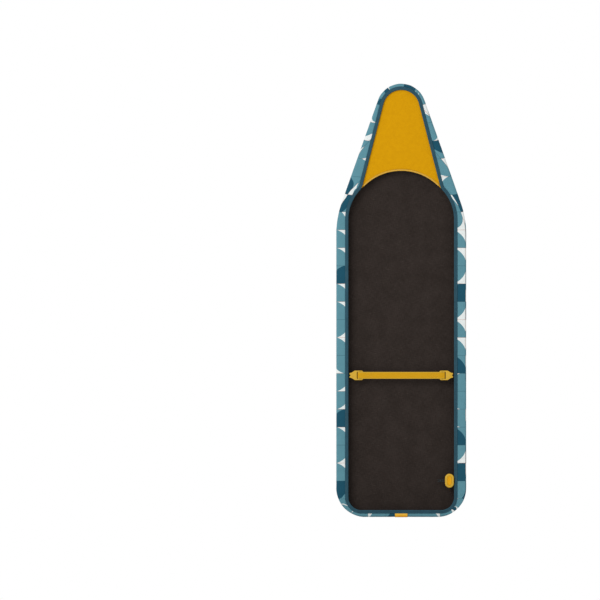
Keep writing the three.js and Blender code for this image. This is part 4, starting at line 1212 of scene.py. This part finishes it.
webbing = wovenWebbing()
strapShape = {
    "width": 0.020, "thickness": 0.0012, "bar": 0.1250, "barDepth": -0.0230, "turn": 0.0025,
    "tailEnd": 0.0809, "innerBar": 0.1174, "tailLevel": -0.0255, "runLevel": -0.0270, "turnSteps": 22,
    "easing": [(0.1222, -0.0261), (0.1196, -0.02675)],    # off the bar and down to the run: x, depth
    "selvedge": 0.0006, "tailSteps": 6, "runSteps": 40, "roundSteps": 6, "acrossSteps": 10,
    "sewnFrom": 0.086, "sewnTo": 0.106, "sewnIn": 0.0026, "stitchPitch": 0.0026, "stitchLength": 0.0021,
    "threadRadius": 0.00026,
}


def sewStrap(setup):
    bm, layer = startPlaced("clothPlace")
    rise = pi / 2 + 2 * atan2(setup["turn"], setup["bar"] - setup["innerBar"])
    bends = [rise + (-pi / 2 - rise) * k / setup["turnSteps"] for k in range(setup["turnSteps"] + 1)]
    right = [(setup["tailEnd"] + (setup["innerBar"] - setup["tailEnd"]) * k / setup["tailSteps"],
              setup["tailLevel"]) for k in range(setup["tailSteps"] + 1)]
    right += [(setup["bar"] + setup["turn"] * cos(a), setup["barDepth"] + setup["turn"] * sin(a)) for a in bends]
    right += setup["easing"] + [(setup["innerBar"], setup["runLevel"])]
    run = [(setup["innerBar"] * (1 - 2 * k / setup["runSteps"]), setup["runLevel"])
           for k in range(1, setup["runSteps"])]
    path = right + run + [(-x, y) for x, y in reversed(right)]
    half, wall = setup["width"] / 2, setup["thickness"] / 2
    # section of the webbing: flat faces and round selvedges
    flat, bend = half - setup["selvedge"], setup["selvedge"]
    rounds = [-pi / 2 + pi * k / setup["roundSteps"] for k in range(setup["roundSteps"] + 1)]
    section = [(flat + bend * cos(a), wall * sin(a)) for a in rounds]
    section += [(flat - 2 * flat * k / setup["acrossSteps"], wall) for k in range(1, setup["acrossSteps"])]
    section += [(-w, -t) for w, t in section]
    rows, places = [], []
    along = distancesAlong(path)
    for k, (x, y) in enumerate(path):
        before, after = path[max(k - 1, 0)], path[min(k + 1, len(path) - 1)]
        heading = Vector((after[0] - before[0], after[1] - before[1])).normalized()
        normal = Vector((-heading.y, heading.x))
        rows.append([Vector((x + normal.x * t, y + normal.y * t, strapHeight + w)) for w, t in section])
        places.append([(along[k], w) for w, t in section])
    layCapped(bm, rows, layer, places)
    turnOutwards(bm)
    return finishPiece("strapWebbing", bm, [webbing], "strap", ["strap_webbing"])


def tackStrap(setup):
    # a sewn box with a cross holds each tail to the run
    bm = bmesh.new()
    level = setup["runLevel"] - setup["thickness"] / 2
    half = setup["width"] / 2 - setup["sewnIn"]
    low, high = setup["sewnFrom"], setup["sewnTo"]
    lines = [((low, -half), (high, -half)), ((low, half), (high, half)), ((low, -half), (low, half)),
             ((high, -half), (high, half)), ((low, -half), (high, half)), ((low, half), (high, -half))]
    for side in (-1, 1):
        for (x0, z0), (x1, z1) in lines:
            start, end = Vector((side * x0, level, strapHeight + z0)), Vector((side * x1, level, strapHeight + z1))
            count = max(3, round((end - start).length / setup["stitchPitch"]))
            for k in range(count):
                spot = start.lerp(end, (k + 0.5) / count)
                sewStitch(bm, spot, (end - start).normalized(), Vector((0, -1, 0)), setup["stitchLength"],
                          setup["threadRadius"])
    return finishPiece("strapStitches", bm, [goldThread], "strap")


sewStrap(strapShape)
tackStrap(strapShape)
print("strap: webbing and box stitches")


# moulded hooks and cord lock

mouldedParts = {
    "paleAcetal": {"colours": ("#c2992c", "#cca438"), "rough": 0.46, "grain": 0.0009},
    "goldAcetal": {"colours": ("#d09406", "#dca006"), "rough": 0.44, "grain": 0.0009},
}


def mouldedAcetal(name, setup):
    # acetal, injection moulded in a spark-finished tool: soft gloss over a fine grain
    material, tree = startMaterial(name)
    place = addNode(tree, "ShaderNodeTexCoord")
    grain = addNode(tree, "ShaderNodeTexNoise", {"Vector": place.outputs["Object"], "Scale": 1 / setup["grain"],
                                                 "Detail": 2.0})
    cloud = addNode(tree, "ShaderNodeTexNoise", {"Vector": place.outputs["Object"], "Scale": 60.0, "Detail": 2.0})
    colour = addNode(tree, "ShaderNodeMix", {0: cloud.outputs[0], 6: linearColour(setup["colours"][0]),
                                             7: linearColour(setup["colours"][1])}, data_type="RGBA")
    relief = addNode(tree, "ShaderNodeBump", {"Height": grain.outputs[0], "Strength": 0.12, "Distance": 0.0002})
    rough = addNode(tree, "ShaderNodeMapRange", {"Value": grain.outputs[0], 3: setup["rough"] - 0.06,
                                                 4: setup["rough"] + 0.06})
    skin = addNode(tree, "ShaderNodeBsdfPrincipled",
                   {"Base Color": colour.outputs[2], "Roughness": rough.outputs[0], "Normal": relief.outputs[0],
                    "IOR": 1.48, "Specular IOR Level": 0.16})
    addNode(tree, "ShaderNodeOutputMaterial", {"Surface": skin.outputs[0]})
    return material


def drawnWire():
    # spring steel, drawn and oiled: bright with fine lines along the wire
    material, tree = startMaterial("drawnSpringWire")
    place = addNode(tree, "ShaderNodeTexCoord")
    lines = addNode(tree, "ShaderNodeTexNoise", {"Vector": place.outputs["Object"], "Scale": 900.0, "Detail": 2.0})
    rough = addNode(tree, "ShaderNodeMapRange", {"Value": lines.outputs[0], 3: 0.22, 4: 0.38})
    colour = addNode(tree, "ShaderNodeMix", {0: lines.outputs[0], 6: linearColour("#9b9ea1"),
                                             7: linearColour("#b9bcbe")}, data_type="RGBA")
    skin = addNode(tree, "ShaderNodeBsdfPrincipled",
                   {"Base Color": colour.outputs[2], "Roughness": rough.outputs[0], "Metallic": 1.0})
    addNode(tree, "ShaderNodeOutputMaterial", {"Surface": skin.outputs[0]})
    return material


paleAcetal = mouldedAcetal("paleAcetal", mouldedParts["paleAcetal"])
goldAcetal = mouldedAcetal("goldAcetal", mouldedParts["goldAcetal"])
springWire = drawnWire()

hookShape = {
    "innerEnd": 0.1118, "shoulder": 0.1363, "neck": 0.1462, "tip": 0.1516, "notch": 0.1480,
    "height": 0.0278, "neckHeight": 0.0150, "tipHeight": 0.0138, "notchHeight": 0.0058,
    "endRound": 0.0050, "shoulderRound": 0.0045, "hornRound": 0.0015,
    "windowInner": 0.1174, "windowOuter": 0.1302, "windowHeight": 0.0210, "windowRound": 0.0012,
    "front": -0.0246, "back": -0.0214, "edge": 0.0006, "edgeSteps": 4,
    "bar": 0.1250, "barDepth": -0.0230, "barRadius": 0.0016,
    "peg": 0.1465, "pegRadius": 0.0018, "pegEnd": -0.0175, "pinSides": 28, "barLap": 0.0012, "rimRound": 0.0003,
}


def cornersFrom(outline):
    # (x, z, radius) of each corner in order, as loopPoints reads them
    return [{"x": x, "z": z, "radius": radius, "steps": 6, "run": 2} for x, z, radius in outline]


def mouldHook(name, side, node, body, setup):
    # outline, window and rounded edges first, for the right hook; the left one is turned half round
    half, tipHalf, notchHalf = setup["height"] / 2, setup["tipHeight"] / 2, setup["notchHeight"] / 2
    below = [(setup["innerEnd"], -half, setup["endRound"]), (setup["shoulder"], -half, setup["shoulderRound"]),
             (setup["neck"], -setup["neckHeight"] / 2, setup["shoulderRound"]),
             (setup["tip"], -tipHalf, setup["hornRound"]), (setup["tip"], -notchHalf, setup["hornRound"] * 0.7)]
    outline = below + [(setup["notch"], 0, setup["hornRound"])] + [(x, -z, r) for x, z, r in reversed(below)]
    tall = setup["windowHeight"] / 2
    window = [(x, z, setup["windowRound"]) for x, z in (
        (setup["windowInner"], -tall), (setup["windowOuter"], -tall), (setup["windowOuter"], tall),
        (setup["windowInner"], tall))]
    bm = bmesh.new()
    ends = []
    for corners, way in ((cornersFrom(outline), 1), (cornersFrom(window), -1)):
        rows = []
        for level, inwards in ((setup["front"], 1), (setup["back"], -1)):
            steps = range(setup["edgeSteps"] + 1) if inwards > 0 else range(setup["edgeSteps"], -1, -1)
            for k in steps:
                angle = pi / 2 * k / setup["edgeSteps"]
                depth = level + inwards * setup["edge"] * (1 - cos(angle))
                outset = way * setup["edge"] * (sin(angle) - 1)
                rows.append([Vector((p.x, depth, p.y)) for p in loopPoints(corners, outset)])
        ends.append(layRows(bm, rows))
    for face in (0, 1):
        bmesh.ops.triangle_fill(bm, use_beauty=True, edges=ends[0][face][1] + ends[1][face][1])
    pegLength = setup["pegEnd"] - setup["barDepth"]
    upright = Matrix.Translation((setup["bar"], setup["barDepth"], 0))
    level = Matrix.Translation((setup["peg"], setup["barDepth"] + pegLength / 2, 0))
    level = level @ Matrix.Rotation(pi / 2, 4, "X")
    for radius, length, place in ((setup["barRadius"], setup["windowHeight"] + setup["barLap"], upright),
                                  (setup["pegRadius"], pegLength, level)):
        bmesh.ops.create_cone(bm, cap_ends=True, segments=setup["pinSides"], radius1=radius, radius2=radius,
                              depth=length, matrix=place)
    rim = [e for e in bm.edges
           if e.calc_face_angle(0) > 1.2 and max(v.co.y for v in e.verts) > setup["pegEnd"] - 1e-5]
    bmesh.ops.bevel(bm, geom=rim, offset=setup["rimRound"], segments=2, profile=0.5, affect="EDGES", material=-1)
    if side < 0:
        bmesh.ops.rotate(bm, verts=bm.verts[:], cent=(0, 0, 0), matrix=Matrix.Rotation(pi, 3, "Y"))
    bmesh.ops.translate(bm, verts=bm.verts[:], vec=(0, 0, strapHeight))
    turnOutwards(bm)
    return finishPiece(name, bm, [paleAcetal], body, [node], sharpAngle=0.7)


mouldHook("slideHookLeft", -1, "slide_hook_left", "hook_left", hookShape)
mouldHook("slideHookRight", 1, "slide_hook_right", "hook_right", hookShape)
print("slide hooks: moulded frames with bar and peg")

lockShape = {
    "x": hemSide - 0.0135, "width": 0.026, "height": 0.041, "slack": 0.0003,
    "frontFace": -0.0320, "backFace": -0.0169, "frontRound": 0.0035, "backRound": 0.0025,
    "frontWall": 0.0022, "backWall": 0.0010, "partingEdge": 0.0003,
    "passageReach": 0.0040, "passageDepth": 0.0018,
    "buttonWidth": 0.0125, "buttonHeight": 0.027, "proud": 0.0008, "buttonRound": 0.0007,
    "dishRim": 0.0008, "dishReach": 0.0036, "dishDepth": 0.0007, "dishSteps": 5,
    "windowRound": 0.0005, "toolPast": 0.001, "passageRound": 0.0012,
    "flange": 0.0012, "travel": 0.0025, "web": 0.0015, "holeRadius": 0.0026, "holeDepth": 0.0058, "spring": 0.0095,
    "roundSteps": 8, "cornerSteps": 14,
}


def oblongRow(width, height, outset, depth, setup):
    radius = min(width, height) / 2 - setup["slack"]
    corners = [{"x": setup["x"] + right * width / 2, "z": lockHeight + up * height / 2, "radius": radius,
                "steps": setup["cornerSteps"], "run": run}
               for right, up, run in ((1, -1, 24), (1, 1, 2), (-1, 1, 24), (-1, -1, 2))]
    return [Vector((p.x, depth, p.y)) for p in loopPoints(corners, outset)]


def cutAway(piece, tool):
    # the piece less a tool shape, which is thrown away
    toolMesh = bpy.data.meshes.new("cutter")
    tool.to_mesh(toolMesh)
    tool.free()
    cutter = bpy.data.objects.new("cutter", toolMesh)
    scene.collection.objects.link(cutter)
    cut = piece.modifiers.new("cut", "BOOLEAN")
    cut.operation, cut.solver, cut.object = "DIFFERENCE", "EXACT", cutter
    whole = piece.data
    piece.data = bpy.data.meshes.new_from_object(piece.evaluated_get(bpy.context.evaluated_depsgraph_get()))
    piece.modifiers.clear()
    for mesh in (toolMesh, whole):
        bpy.data.meshes.remove(mesh)
    piece.data.set_sharp_from_angle(angle=0.6)


def passageTool(low, high, setup):
    # the slot that both strands of the cord pass through
    tool = bmesh.new()
    size = Matrix.Diagonal((setup["width"] + 4 * setup["toolPast"], high - low, 2 * setup["passageReach"], 1))
    bmesh.ops.create_cube(tool, size=1,
                          matrix=Matrix.Translation((setup["x"], (low + high) / 2, lockHeight)) @ size)
    bmesh.ops.bevel(tool, geom=[e for e in tool.edges if e.verts[0].co.x != e.verts[1].co.x],
                    offset=setup["passageRound"], segments=4, profile=0.5, affect="EDGES", material=-1)
    return tool


def mouldShell(name, node, front, setup):
    # rows from the parting plane over the outside to the face, and back down the inside
    towards = -1 if front else 1
    face = setup["frontFace"] if front else setup["backFace"]
    bend = setup["frontRound"] if front else setup["backRound"]
    parting = hemDepth + towards * setup["slack"] / 2
    width, height = setup["width"], setup["height"]
    opening, tall = setup["buttonWidth"], setup["buttonHeight"]
    edge = setup["partingEdge"]
    rows = [oblongRow(width, height, -edge, parting, setup),
            oblongRow(width, height, 0, parting + towards * edge, setup),
            oblongRow(width, height, 0, (parting + face - towards * bend) / 2, setup)]
    for k in range(setup["roundSteps"] + 1):
        angle = pi / 2 * k / setup["roundSteps"]
        rows.append(oblongRow(width, height, bend * (cos(angle) - 1), face - towards * bend * (1 - sin(angle)),
                              setup))
    if front:
        lip = setup["windowRound"]
        for k in range(4):
            angle = pi / 2 * k / 3
            rows.append(oblongRow(opening, tall, setup["slack"] + lip - lip * sin(angle),
                                  face + lip * (1 - cos(angle)), setup))
        rows.append(oblongRow(opening, tall, setup["slack"], face + setup["frontWall"], setup))
        inside = face + setup["frontWall"]
    else:
        inside = face - setup["backWall"]
    chamber = setup["flange"] + setup["slack"]
    inner = [oblongRow(opening, tall, chamber, inside, setup), oblongRow(opening, tall, chamber, parting, setup)]
    bm = bmesh.new()
    if front:
        layRows(bm, rows + inner + [rows[0]])
    else:
        bmesh.ops.contextual_create(bm, geom=layRows(bm, rows)[1][1])
        bmesh.ops.contextual_create(bm, geom=layRows(bm, inner + [rows[0]])[0][1])
    bmesh.ops.remove_doubles(bm, verts=bm.verts[:], dist=1e-6)
    turnOutwards(bm)
    piece = finishPiece(name, bm, [paleAcetal], "cord_lock", [node])
    cutAway(piece, passageTool(hemDepth - setup["passageDepth"], hemDepth + setup["passageDepth"], setup))
    return piece


def mouldButton(setup):
    face, tall, wide = setup["frontFace"], setup["buttonHeight"], setup["buttonWidth"]
    top, bend = face - setup["proud"], setup["buttonRound"]
    floor = setup["backFace"] - setup["backWall"]
    back = floor - setup["slack"] - setup["travel"]
    shoulder = face + setup["frontWall"] + setup["slack"]
    rows = [oblongRow(wide, tall, 0, back, setup), oblongRow(wide, tall, 0, shoulder + setup["flange"], setup),
            oblongRow(wide, tall, setup["flange"], shoulder + setup["flange"], setup),
            oblongRow(wide, tall, setup["flange"], shoulder, setup), oblongRow(wide, tall, 0, shoulder, setup)]
    for k in range(5):
        angle = pi / 2 * k / 4
        rows.append(oblongRow(wide, tall, bend * (cos(angle) - 1), top + bend * (1 - sin(angle)), setup))
    for k in range(1, setup["dishSteps"] + 1):                # a shallow dish for the fingertip
        share = k / setup["dishSteps"]
        rows.append(oblongRow(wide, tall, -bend - setup["dishRim"] - setup["dishReach"] * share,
                              top + setup["dishDepth"] * sin(pi / 2 * share), setup))
    bm = bmesh.new()
    layCapped(bm, rows)
    turnOutwards(bm)
    piece = finishPiece("lockButton", bm, [goldAcetal], "button", ["lock_button"])
    cutAway(piece, passageTool(shoulder + setup["flange"], back - setup["web"], setup))
    past, deep = setup["toolPast"], setup["holeDepth"]
    for side in (-1, 1):
        hole = bmesh.new()
        place = Matrix.Translation((setup["x"], back + (past - deep) / 2, lockHeight + side * setup["spring"]))
        bmesh.ops.create_cone(hole, cap_ends=True, segments=24, radius1=setup["holeRadius"],
                              radius2=setup["holeRadius"], depth=deep + past,
                              matrix=place @ Matrix.Rotation(pi / 2, 4, "X"))
        cutAway(piece, hole)
    return piece


mouldShell("lockFront", "lock_front_shell", True, lockShape)
mouldShell("lockBack", "lock_back_shell", False, lockShape)
mouldButton(lockShape)

springShape = {"radius": 0.002, "wire": 0.0003, "turns": 5, "closedTurns": 0.8, "stepsPerTurn": 20, "sides": 8,
               "ends": (-0.0262, -0.0182)}


def coilSpring(name, node, side, setup):
    # closed coils at both ends, open ones between, standing on the back shell's floor
    low, high = setup["ends"][0] + setup["wire"], setup["ends"][1] - setup["wire"]
    closed, turns = setup["closedTurns"], setup["turns"]
    rise = 2 * setup["wire"] * closed
    path = []
    for k in range(turns * setup["stepsPerTurn"] + 1):
        turn = k / setup["stepsPerTurn"]
        if turn < closed:
            depth = low + 2 * setup["wire"] * turn
        elif turn > turns - closed:
            depth = high - 2 * setup["wire"] * (turns - turn)
        else:
            depth = low + rise + (high - low - 2 * rise) * (turn - closed) / (turns - 2 * closed)
        path.append(Vector((lockShape["x"] + setup["radius"] * cos(2 * pi * turn), depth,
                            lockHeight + side * lockShape["spring"] + setup["radius"] * sin(2 * pi * turn))))
    bm = bmesh.new()
    sweepTube(bm, path, setup["wire"], setup["sides"])
    turnOutwards(bm)
    piece = finishPiece(name, bm, [springWire], "cord_lock", [node])
    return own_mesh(piece)


coilSpring("lockSpringUpper", "lock_spring_upper", 1, springShape)
coilSpring("lockSpringLower", "lock_spring_lower", -1, springShape)
print("cord lock: shells, dished button and springs")


print("all pieces built")

scene.view_settings.view_transform = "Standard"
